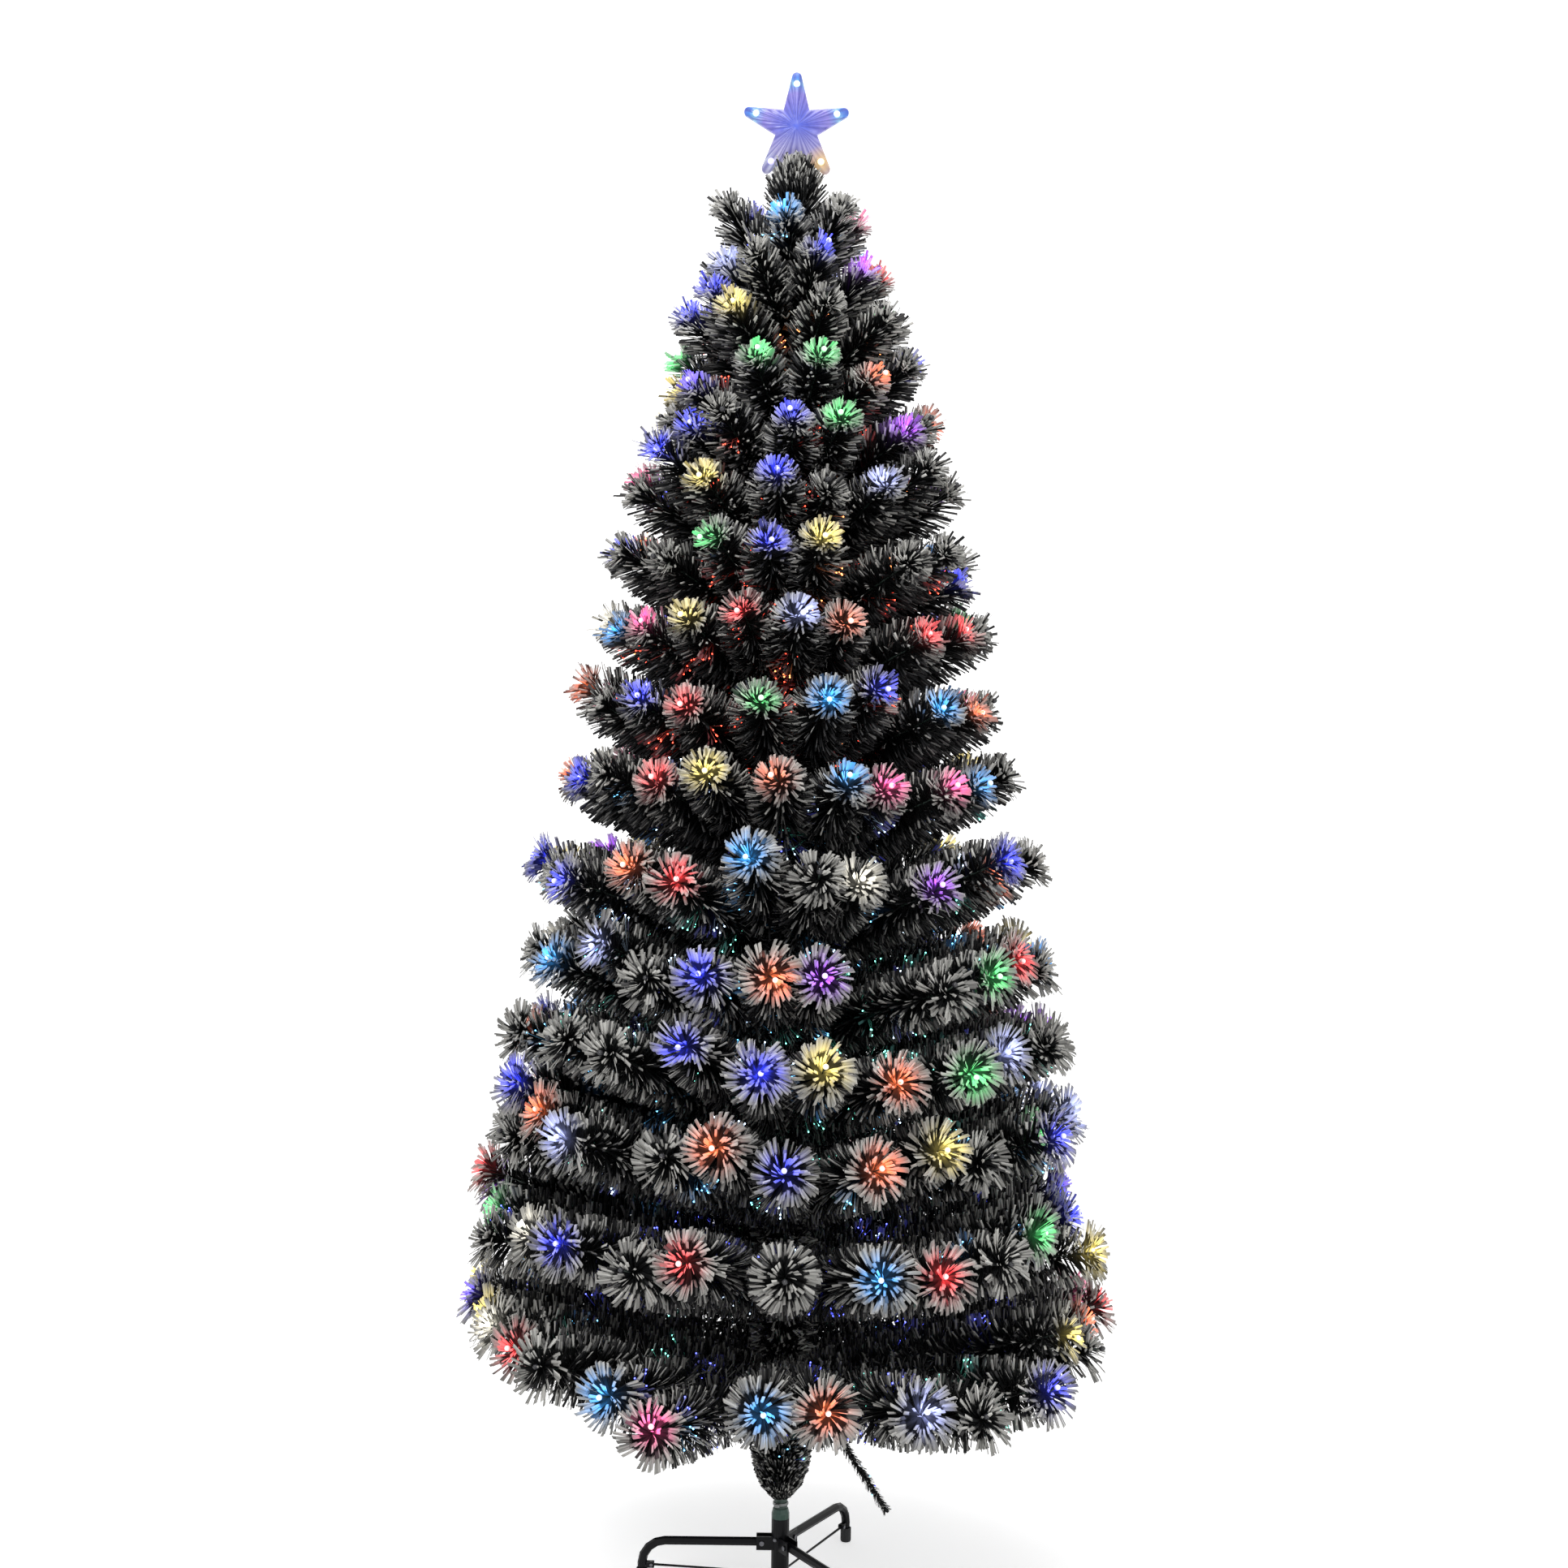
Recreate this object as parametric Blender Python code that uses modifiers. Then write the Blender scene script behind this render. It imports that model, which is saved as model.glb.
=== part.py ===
"""Fiber optic christmas tree on a folding three-legged stand, in metres, +Z up.

The origin is on the floor on the trunk's axis, +X is to the right and the front is -Y.
"""

import math

import bmesh
import bpy
from mathutils import Matrix, Vector

# Overall sizes
TREE_HEIGHT = 2.10
CROWN_REACH = 0.44
CLEARANCE = 0.0003
CUT_OVERRUN = 0.002
WELD_DISTANCE = 0.00001
ROUND_SIDES = 12
SLEEVE_SIDES = 18
PIN_SIDES = 8
SMOOTH_ANGLE_DEG = 40

# Trunk tubes
TRUNK_RADIUS = 0.0095
TRUNK_WALL = 0.001
SPIGOT_LENGTH = 0.06
SWAGE_LENGTH = 0.008
BEAD_HEIGHT = 0.005
LOWER_JOINT_HEIGHT = 0.835
UPPER_JOINT_HEIGHT = 1.375

# Stand sleeve
SLEEVE_WALL = 0.0015
SLEEVE_BOTTOM = 0.006
SLEEVE_TOP = 0.094
SHELF_THICKNESS = 0.003
SHELF_HOLE_RADIUS = 0.006
FLANGE_THICKNESS = 0.0065
BUSH_WALL = 0.0009
BUSH_TIP_WALL = 0.001
BUSH_HEIGHT = 0.0145
BUSH_SKIRT_LENGTH = 0.02

# Legs
LEG_AZIMUTHS_DEG = {"back": 60, "left": 180, "front": 300}
LEG_TUBE_RADIUS = 0.00635
LEG_TUBE_WALL = 0.0012
LEG_ARM_HEIGHT = 0.06
LEG_REACH = 0.194
LEG_BEND_RADIUS = 0.032
LEG_BEND_STEPS = 4
LEG_PIVOT_GAP = 0.0135
LUG_THICKNESS = 0.002
LUG_HEIGHT = 0.019
LUG_OVERHANG = 0.0075
LEG_PIN_RADIUS = 0.002
PIN_HEAD_RADIUS = 0.0035
PIN_HEAD_HEIGHT = 0.0015
CAP_WALL = 0.00115
CAP_HEIGHT = 0.021
CAP_FLOOR = 0.003
CAP_EDGE_ROUND = 0.0025

# Brace rods
BRACE_ROD_RADIUS = 0.0018
BRACE_EYE_RADIUS = 0.0042
BRACE_PIVOT_OFFSET = 0.013
BRACE_HOOK_GAP = 0.0014
BRACE_HOOK_RISE = 0.004
BRACE_HOOK_OVERHANG = 0.0005
FORK_THICKNESS = 0.0014
BRACE_PIN_RADIUS = 0.0012
BRACE_PIN_HEAD_RADIUS = 0.0024
BRACE_PIN_HEAD_HEIGHT = 0.001

# Locking screw
SCREW_AZIMUTH_DEG = 237
SCREW_DROP = 0.008
SCREW_SHANK_RADIUS = 0.0018
SCREW_HEAD_RADIUS = 0.0029
SCREW_HEAD_HEIGHT = 0.0024
SCREW_HEAD_ROUND = 0.0008

# Tie and hanging needles round the trunk's foot
TIE_GAP = 0.005
TIE_WIDTH = 0.0036
TIE_THICKNESS = 0.0013
TIE_HEAD_WIDTH = 0.006
TIE_HEAD_DEPTH = 0.0045
TIE_HEAD_AZIMUTH_DEG = 250
WRAP_GAP = 0.0019
WRAP_RADIUS = 0.044
WRAP_HEIGHT_SHARES = (1.0, 0.82, 0.5, 0.32, 0.14, 0.0)
WRAP_RADIUS_SHARES = (0.55, 0.88, 1.0, 0.92, 0.68, 0.29)

# Branch tiers, from the bottom up
BRUSH_DIAMETER = 0.098
COLLAR_THICKNESS = 0.0125
COLLAR_HEIGHT = 0.026
BRUSH_OVERHANG = 0.006
BRUSH_DOME_SHARE = 0.18
BRUSH_ROOT_INSET = 0.008
TIP_HEIGHT_SHARES = (
    0.180, 0.253, 0.3143, 0.369, 0.422, 0.4815, 0.541, 0.5876,
    0.6386, 0.6852, 0.728, 0.767, 0.806, 0.838, 0.8705, 0.9048,
)
TIP_REACH_SHARES = (
    1.0, 0.943, 0.875, 0.841, 0.773, 0.739, 0.659, 0.602,
    0.557, 0.523, 0.466, 0.409, 0.364, 0.318, 0.273, 0.193,
)
BRUSH_DIAMETER_SHARES = (
    0.94, 1.0, 0.97, 0.96, 0.96, 0.94, 0.9, 0.9,
    0.87, 0.84, 0.79, 0.75, 0.68, 0.62, 0.68, 0.7,
)
TIER_TILTS_DEG = (13, 15, 17, 18, 19, 21, 23, 24, 26, 28, 31, 34, 37, 41, 46, 54)
TIER_TIP_COUNTS = (28, 26, 24, 24, 22, 22, 20, 18, 18, 16, 16, 14, 12, 10, 8, 6)
TIER_TURN_SHARES = (
    0.6, 0.5, 0.2, 0.6, 0.3, 0.9, 0.8, 0.0,
    0.7, 0.6, 0.6, 0.4, 0.4, 0.9, 0.5, 0.2,
)
BRUSH_TURN_DEG = 30
NEIGHBOUR_FIT_SHARE = 0.97

# Crown brush at the trunk's top
CROWN_BRUSH_DROP = 0.005
CROWN_BRUSH_REACH = 0.036
CROWN_BRUSH_DIAMETER = 0.021
CROWN_BRUSH_TILT_DEG = 72
CROWN_BRUSH_TIPS = 6
CROWN_BRUSH_TURN_SHARE = 0.25

# Loose fiber branch under the bottom tier
LOOSE_AZIMUTH_DEG = -15
LOOSE_END_REACH = 0.155
LOOSE_END_HEIGHT = 0.118
LOOSE_RADIUS = 0.0052
LOOSE_REACH_SHARES = (0.0, 0.08, 0.28, 0.5, 0.75, 1.0)
LOOSE_DROP_SHARES = (0.0, 0.0, 0.12, 0.42, 0.74, 1.0)
LOOSE_RADIUS_SHARES = (0.7, 0.7, 0.9, 1.0, 0.8, 0.3)

# Star topper
STAR_RADIUS = 0.075
STAR_NOTCH_RADIUS = 0.031
STAR_TIP_ROUND = 0.009
STAR_TIP_TURNS_DEG = (-60, 0, 60)
STAR_DEPTH = 0.015
STAR_WALL = 0.0016
STAR_RING_SHARES = (1.0, 1.0, 0.93, 0.6, 0.25)
STAR_RING_DEPTH_SHARES = (0.0, 0.27, 0.45, 0.78, 0.95)
SOCKET_WALL = 0.002
SOCKET_GRIP_LENGTH = 0.03
SOCKET_NECK_LENGTH = 0.029
SOCKET_STEM_LENGTH = 0.041
SOCKET_STEM_RADIUS = 0.004
SOCKET_TIP_RADIUS = 0.0026
STAR_HUB_RADIUS = 0.006
STAR_HUB_DEPTH = 0.006
STAR_WIRE_RADIUS = 0.0009
STAR_BULB_RADIUS = 0.0024
STAR_BULB_INSET = 0.032
STAR_BULB_LENGTH = 0.008

POINTS = 5
STAR_CENTRE_HEIGHT = TREE_HEIGHT - STAR_RADIUS
STAR_BULB_REACH = STAR_RADIUS - STAR_BULB_INSET
SOCKET_SHOULDER = STAR_CENTRE_HEIGHT - SOCKET_STEM_LENGTH
TRUNK_TOP_HEIGHT = SOCKET_SHOULDER - SOCKET_NECK_LENGTH
SOCKET_BOTTOM = TRUNK_TOP_HEIGHT - SOCKET_GRIP_LENGTH
CROWN_BRUSH_HEIGHT = TRUNK_TOP_HEIGHT - CROWN_BRUSH_DROP
TRUNK_BORE = TRUNK_RADIUS - TRUNK_WALL
SPIGOT_RADIUS = TRUNK_BORE - CLEARANCE
TRUNK_TOP_RADIUS = SPIGOT_RADIUS
SOCKET_RADIUS = TRUNK_TOP_RADIUS + CLEARANCE + SOCKET_WALL
BUSH_BORE = TRUNK_RADIUS + CLEARANCE
BUSH_TIP_RADIUS = BUSH_BORE + BUSH_TIP_WALL
BUSH_TOP = SLEEVE_TOP + BUSH_HEIGHT
SLEEVE_BORE = BUSH_BORE + BUSH_WALL + CLEARANCE
SLEEVE_RADIUS = SLEEVE_BORE + SLEEVE_WALL
TRUNK_FOOT = SLEEVE_BOTTOM + SHELF_THICKNESS + CLEARANCE
FLANGE_TOP = SLEEVE_BOTTOM + FLANGE_THICKNESS
BRACE_HOOK_REACH = SLEEVE_RADIUS + BRACE_HOOK_GAP + BRACE_ROD_RADIUS
BRACE_HOOK_HEIGHT = FLANGE_TOP + BRACE_HOOK_RISE
BRACE_HOOK_END = SLEEVE_BOTTOM - BRACE_HOOK_OVERHANG
FLANGE_RADIUS = BRACE_HOOK_REACH + BRACE_ROD_RADIUS
SCREW_HEIGHT = SLEEVE_TOP - BUSH_SKIRT_LENGTH - SCREW_DROP
TIE_HEIGHT = BUSH_TOP + TIE_GAP
WRAP_BOTTOM = TIE_HEIGHT + TIE_WIDTH + WRAP_GAP
CAP_BORE = LEG_TUBE_RADIUS + CLEARANCE
CAP_RADIUS = CAP_BORE + CAP_WALL
LEG_PIVOT_REACH = SLEEVE_RADIUS + LEG_PIVOT_GAP
LUG_INNER = LEG_TUBE_RADIUS + CLEARANCE
LUG_OUTER = LUG_INNER + LUG_THICKNESS
BRACE_PIVOT_REACH = LEG_REACH - BRACE_PIVOT_OFFSET
BRACE_PIVOT_HEIGHT = CAP_HEIGHT + BRACE_EYE_RADIUS + 2 * CLEARANCE
FORK_INNER = BRACE_ROD_RADIUS + CLEARANCE
FORK_OUTER = FORK_INNER + FORK_THICKNESS


def clear_scene():
    for old in list(bpy.data.objects):
        bpy.data.objects.remove(old, do_unlink=True)


def make_collection(name, shown):
    made = bpy.data.collections.new(name)
    made.hide_render = not shown
    bpy.context.scene.collection.children.link(made)
    return made


def make_material(name, colour, roughness, metallic=0.0):
    made = bpy.data.materials.new(name)
    made.use_nodes = True
    shader = made.node_tree.nodes["Principled BSDF"]
    shader.inputs["Base Color"].default_value = (*colour, 1.0)
    shader.inputs["Roughness"].default_value = roughness
    shader.inputs["Metallic"].default_value = metallic
    return made


def add_object(name, mesh, material=None):
    obj = bpy.data.objects.new(name, mesh)
    if material is not None:
        obj.data.materials.append(material)
    TREE.objects.link(obj)
    return obj


def as_cutter(obj):
    """Moves a helper for a Boolean into the cutters, where it isn't drawn."""
    for holder in list(obj.users_collection):
        holder.objects.unlink(obj)
    CUTTERS.objects.link(obj)
    obj.hide_render = True
    obj.display_type = "WIRE"


def smooth(obj):
    obj.data.shade_smooth()
    obj.data.set_sharp_from_angle(angle=math.radians(SMOOTH_ANGLE_DEG))


def boolean(obj, other, operation):
    step = obj.modifiers.new(operation.title(), "BOOLEAN")
    step.operation = operation
    step.solver = "EXACT"
    step.object = other
    as_cutter(other)


def turned(name, profile, material=None, steps=ROUND_SIDES, closed=True):
    """A profile of (radius, height) points, down the outer side, turned about Z."""
    count = len(profile)
    edges = [(i, i + 1) for i in range(count - 1)]
    if closed:
        edges.append((count - 1, 0))
    mesh = bpy.data.meshes.new(name)
    mesh.from_pydata([(radius, 0, height) for radius, height in profile], edges, [])
    obj = add_object(name, mesh, material)
    turn = obj.modifiers.new("Turn", "SCREW")
    turn.axis = "Z"
    turn.angle = math.tau
    turn.steps = steps
    turn.render_steps = steps
    turn.use_merge_vertices = True
    turn.merge_threshold = WELD_DISTANCE
    turn.use_smooth_shade = True
    return obj


def tube_mesh(name, runs, resolution, tilt=0.0):
    """Closed tubes along polylines. Each run is a list of (point, radius) pairs."""
    curve = bpy.data.curves.new(name, "CURVE")
    curve.dimensions = "3D"
    curve.twist_mode = "Z_UP"
    curve.bevel_depth = 1.0
    curve.bevel_resolution = resolution
    curve.use_fill_caps = True
    for run in runs:
        spline = curve.splines.new("POLY")
        spline.points.add(len(run) - 1)
        for place, (point, radius) in zip(spline.points, run):
            place.co = (*point, 1.0)
            place.radius = radius
            place.tilt = tilt
    guide = bpy.data.objects.new(name, curve)
    TREE.objects.link(guide)
    graph = bpy.context.evaluated_depsgraph_get()
    mesh = bpy.data.meshes.new_from_object(guide.evaluated_get(graph))
    bpy.data.objects.remove(guide, do_unlink=True)
    shape = bmesh.new()
    shape.from_mesh(mesh)
    bmesh.ops.remove_doubles(shape, verts=shape.verts, dist=WELD_DISTANCE)
    bmesh.ops.recalc_face_normals(shape, faces=shape.faces)
    shape.to_mesh(mesh)
    shape.free()
    return mesh


def tubes(name, runs, resolution, material=None, tilt=0.0):
    mesh = tube_mesh(name, runs, resolution, tilt)
    mesh.materials.clear()
    return add_object(name, mesh, material)


def box(name, low, high):
    """A box between two corners."""
    shape = bmesh.new()
    bmesh.ops.create_cube(shape, size=1)
    low, high = Vector(low), Vector(high)
    for vertex in shape.verts:
        middle = (low + high) / 2
        vertex.co = middle + Vector(a * b for a, b in zip(vertex.co, high - low))
    mesh = bpy.data.meshes.new(name)
    shape.to_mesh(mesh)
    shape.free()
    return add_object(name, mesh)


def rod(name, radius, start, end):
    """A round bar from one point to another."""
    start, end = Vector(start), Vector(end)
    shape = bmesh.new()
    bmesh.ops.create_cone(
        shape,
        cap_ends=True,
        segments=ROUND_SIDES,
        radius1=radius,
        radius2=radius,
        depth=(end - start).length,
    )
    turn = Vector((0, 0, 1)).rotation_difference(end - start).to_matrix().to_4x4()
    bmesh.ops.transform(
        shape, matrix=Matrix.Translation((start + end) / 2) @ turn, verts=shape.verts
    )
    mesh = bpy.data.meshes.new(name)
    shape.to_mesh(mesh)
    shape.free()
    return add_object(name, mesh)


def rivet(name, radius, head_radius, head_height, grip, material):
    """A pin along Y, centred on the origin, with a head past each end of its grip."""
    half = grip / 2 + CLEARANCE
    top = half + head_height
    pin = turned(
        name,
        [
            (0, top),
            (head_radius, top),
            (head_radius, half),
            (radius, half),
            (radius, -half),
            (head_radius, -half),
            (head_radius, -top),
            (0, -top),
        ],
        material,
        steps=PIN_SIDES,
        closed=False,
    )
    pin.rotation_euler = (math.pi / 2, 0, 0)
    return pin


def joint_empty(name, place, azimuth_deg, parent=None):
    """An empty on a joint's axis, whose X points away from the trunk."""
    empty = bpy.data.objects.new(name, None)
    empty.empty_display_size = LEG_TUBE_RADIUS
    empty.location = place
    empty.rotation_euler = (0, 0, math.radians(azimuth_deg))
    TREE.objects.link(empty)
    if parent is not None:
        empty.parent = parent
    return empty


def make_sleeve():
    """The stand's tube, with its flange, the three pairs of lugs and their holes."""
    shelf_top = SLEEVE_BOTTOM + SHELF_THICKNESS
    sleeve = turned(
        "stand_sleeve",
        [
            (SLEEVE_RADIUS, SLEEVE_TOP),
            (SLEEVE_RADIUS, FLANGE_TOP),
            (FLANGE_RADIUS, FLANGE_TOP),
            (FLANGE_RADIUS, SLEEVE_BOTTOM),
            (SHELF_HOLE_RADIUS, SLEEVE_BOTTOM),
            (SHELF_HOLE_RADIUS, shelf_top),
            (SLEEVE_BORE, shelf_top),
            (SLEEVE_BORE, SLEEVE_TOP),
        ],
        BLACK_PAINT,
        steps=SLEEVE_SIDES,
    )
    lug_low = LEG_ARM_HEIGHT - LUG_HEIGHT / 2
    lug_high = LEG_ARM_HEIGHT + LUG_HEIGHT / 2
    lug_start = math.sqrt((SLEEVE_BORE + CLEARANCE) ** 2 - LUG_INNER**2)
    lug_end = LEG_PIVOT_REACH + LUG_OVERHANG
    hole = LEG_PIN_RADIUS + CLEARANCE
    slot = BRACE_ROD_RADIUS + CLEARANCE
    slot_start = BRACE_HOOK_REACH - slot
    for side, azimuth in LEG_AZIMUTHS_DEG.items():
        spin = (0, 0, math.radians(azimuth))
        for sign in (-1, 1):
            ends = sorted((sign * LUG_INNER, sign * LUG_OUTER))
            lug = box(
                f"lug_{side}_{sign}",
                (lug_start, ends[0], lug_low),
                (lug_end, ends[1], lug_high),
            )
            lug.rotation_euler = spin
            boolean(sleeve, lug, "UNION")
        drill = rod(
            f"pin_hole_{side}",
            hole,
            (LEG_PIVOT_REACH, -LUG_OUTER - CUT_OVERRUN, LEG_ARM_HEIGHT),
            (LEG_PIVOT_REACH, LUG_OUTER + CUT_OVERRUN, LEG_ARM_HEIGHT),
        )
        drill.rotation_euler = spin
        boolean(sleeve, drill, "DIFFERENCE")
        notch = box(
            f"brace_slot_{side}",
            (slot_start, -slot, SLEEVE_BOTTOM - CUT_OVERRUN),
            (FLANGE_RADIUS + CUT_OVERRUN, slot, FLANGE_TOP + CUT_OVERRUN),
        )
        notch.rotation_euler = spin
        boolean(sleeve, notch, "DIFFERENCE")
    drill = rod(
        "screw_hole",
        SCREW_SHANK_RADIUS + CLEARANCE,
        (TRUNK_RADIUS, 0, SCREW_HEIGHT),
        (SLEEVE_RADIUS + CUT_OVERRUN, 0, SCREW_HEIGHT),
    )
    drill.rotation_euler = (0, 0, math.radians(SCREW_AZIMUTH_DEG))
    boolean(sleeve, drill, "DIFFERENCE")


def make_bush():
    """The green plastic bush that centres the trunk in the sleeve's mouth."""
    skirt = BUSH_BORE + BUSH_WALL
    seat = SLEEVE_TOP + CLEARANCE
    shoulder = (seat + BUSH_TOP) / 2
    turned(
        "sleeve_bush",
        [
            (BUSH_BORE, BUSH_TOP),
            (BUSH_TIP_RADIUS, BUSH_TOP),
            (SLEEVE_RADIUS, shoulder),
            (SLEEVE_RADIUS, seat),
            (skirt, seat),
            (skirt, SLEEVE_TOP - BUSH_SKIRT_LENGTH),
            (BUSH_BORE, SLEEVE_TOP - BUSH_SKIRT_LENGTH),
        ],
        GREEN_PLASTIC,
    )


def leg_path():
    """The tube's centre line, from the pivot's end round the bend to the foot."""
    bend_start = LEG_REACH - LEG_BEND_RADIUS
    foot = CAP_FLOOR + CLEARANCE
    path = [(LEG_PIVOT_REACH - LEG_TUBE_RADIUS, LEG_ARM_HEIGHT)]
    for step in range(LEG_BEND_STEPS + 1):
        angle = math.pi / 2 * step / LEG_BEND_STEPS
        reach = bend_start + LEG_BEND_RADIUS * math.sin(angle)
        height = LEG_ARM_HEIGHT - LEG_BEND_RADIUS * (1 - math.cos(angle))
        path.append((reach, height))
    path.append((LEG_REACH, foot))
    return path


def in_leg(reach, height):
    """A point of the leg's plane, seen from the empty at the leg's pivot."""
    return (reach - LEG_PIVOT_REACH, 0, height - LEG_ARM_HEIGHT)


def make_leg(side, azimuth):
    """A bent tube with its foot cap, brace rod and pins, about the leg's pivot."""
    angle = math.radians(azimuth)
    place = (
        LEG_PIVOT_REACH * math.cos(angle),
        LEG_PIVOT_REACH * math.sin(angle),
        LEG_ARM_HEIGHT,
    )
    pivot = joint_empty(f"leg_{side}_pivot", place, azimuth)

    path = leg_path()
    outer = [(in_leg(*place), LEG_TUBE_RADIUS) for place in path]
    leg = tubes(f"leg_{side}", [outer], 2, BLACK_PAINT)
    leg.parent = pivot
    bore_radius = LEG_TUBE_RADIUS - LEG_TUBE_WALL
    ends = [(path[0][0] - CUT_OVERRUN, path[0][1])]
    ends += path[1:-1]
    ends += [(path[-1][0], path[-1][1] - CUT_OVERRUN)]
    bore = tubes(
        f"leg_{side}_bore", [[(in_leg(*place), bore_radius) for place in ends]], 1
    )
    bore.parent = pivot
    tab_start = BRACE_PIVOT_REACH - BRACE_EYE_RADIUS
    tab_end = LEG_REACH - LEG_TUBE_RADIUS + LEG_TUBE_WALL / 2
    half = BRACE_EYE_RADIUS
    for sign in (-1, 1):
        sides = sorted((sign * FORK_INNER, sign * FORK_OUTER))
        low = in_leg(tab_start, BRACE_PIVOT_HEIGHT - half)
        high = in_leg(tab_end, BRACE_PIVOT_HEIGHT + half)
        tab = box(
            f"fork_{side}_{sign}",
            (low[0], sides[0], low[2]),
            (high[0], sides[1], high[2]),
        )
        tab.parent = pivot
        boolean(leg, tab, "UNION")
    boolean(leg, bore, "DIFFERENCE")
    across = LEG_TUBE_RADIUS + CUT_OVERRUN
    drill = rod(
        f"leg_{side}_hole",
        LEG_PIN_RADIUS + CLEARANCE,
        (0, -across, 0),
        (0, across, 0),
    )
    drill.parent = pivot
    boolean(leg, drill, "DIFFERENCE")
    eye = Vector(in_leg(BRACE_PIVOT_REACH, BRACE_PIVOT_HEIGHT))
    sideways = Vector((0, FORK_OUTER + CUT_OVERRUN, 0))
    drill = rod(
        f"fork_{side}_hole",
        BRACE_PIN_RADIUS + CLEARANCE,
        eye - sideways,
        eye + sideways,
    )
    drill.parent = pivot
    boolean(leg, drill, "DIFFERENCE")

    make_foot_cap(side, pivot)
    pin = rivet(
        f"leg_pin_{side}",
        LEG_PIN_RADIUS,
        PIN_HEAD_RADIUS,
        PIN_HEAD_HEIGHT,
        2 * LUG_OUTER,
        STEEL,
    )
    pin.location = place
    pin.rotation_euler = (math.pi / 2, 0, angle)
    make_brace(side, pivot)


def make_foot_cap(side, pivot):
    """A rubber cup on the tube's end, with a flat sole and rounded edges."""
    rounded = CAP_RADIUS - CAP_EDGE_ROUND
    slanted = CAP_EDGE_ROUND * (1 - math.sqrt(0.5))
    cap = turned(
        f"foot_cap_{side}",
        [
            (CAP_BORE, CAP_HEIGHT),
            (CAP_RADIUS, CAP_HEIGHT),
            (CAP_RADIUS, CAP_EDGE_ROUND),
            (CAP_RADIUS - slanted, slanted),
            (rounded, 0),
            (0, 0),
            (0, CAP_FLOOR),
            (CAP_BORE, CAP_FLOOR),
        ],
        BLACK_RUBBER,
    )
    cap.location = in_leg(LEG_REACH, 0)
    cap.parent = pivot


def make_brace(side, pivot):
    """A thin rod from the fork on the leg to its open hook at the sleeve's foot."""
    eye_place = in_leg(BRACE_PIVOT_REACH, BRACE_PIVOT_HEIGHT)
    hinge = joint_empty(f"brace_{side}_pivot", eye_place, 0, pivot)
    hook_turn = Vector(
        (
            BRACE_HOOK_REACH - BRACE_PIVOT_REACH,
            0,
            BRACE_HOOK_HEIGHT - BRACE_PIVOT_HEIGHT,
        )
    )
    hook_end = hook_turn - Vector((0, 0, BRACE_HOOK_HEIGHT - BRACE_HOOK_END))
    run = [(point, BRACE_ROD_RADIUS) for point in (Vector(), hook_turn, hook_end)]
    brace = tubes(f"brace_{side}", [run], 2, BLACK_PAINT)
    brace.parent = hinge
    eye = rod(
        f"brace_eye_{side}",
        BRACE_EYE_RADIUS,
        (0, -BRACE_ROD_RADIUS, 0),
        (0, BRACE_ROD_RADIUS, 0),
    )
    eye.parent = hinge
    boolean(brace, eye, "UNION")
    drill = rod(
        f"brace_eye_hole_{side}",
        BRACE_PIN_RADIUS + CLEARANCE,
        (0, -FORK_OUTER, 0),
        (0, FORK_OUTER, 0),
    )
    drill.parent = hinge
    boolean(brace, drill, "DIFFERENCE")
    pin = rivet(
        f"brace_pin_{side}",
        BRACE_PIN_RADIUS,
        BRACE_PIN_HEAD_RADIUS,
        BRACE_PIN_HEAD_HEIGHT,
        2 * FORK_OUTER,
        STEEL,
    )
    pin.location = eye_place
    pin.parent = pivot


def make_screw():
    """The screw through the sleeve's wall that holds the trunk."""
    reach = SLEEVE_RADIUS + CLEARANCE
    top = reach + SCREW_HEAD_HEIGHT
    tip = TRUNK_RADIUS + CLEARANCE
    screw = turned(
        "locking_screw",
        [
            (0, top),
            (SCREW_HEAD_RADIUS - SCREW_HEAD_ROUND, top),
            (SCREW_HEAD_RADIUS, top - SCREW_HEAD_ROUND),
            (SCREW_HEAD_RADIUS, reach),
            (SCREW_SHANK_RADIUS, reach),
            (SCREW_SHANK_RADIUS, tip),
            (0, tip),
        ],
        STEEL,
        closed=False,
    )
    screw.location = (0, 0, SCREW_HEIGHT)
    screw.rotation_euler = (0, math.pi / 2, math.radians(SCREW_AZIMUTH_DEG))


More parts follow.
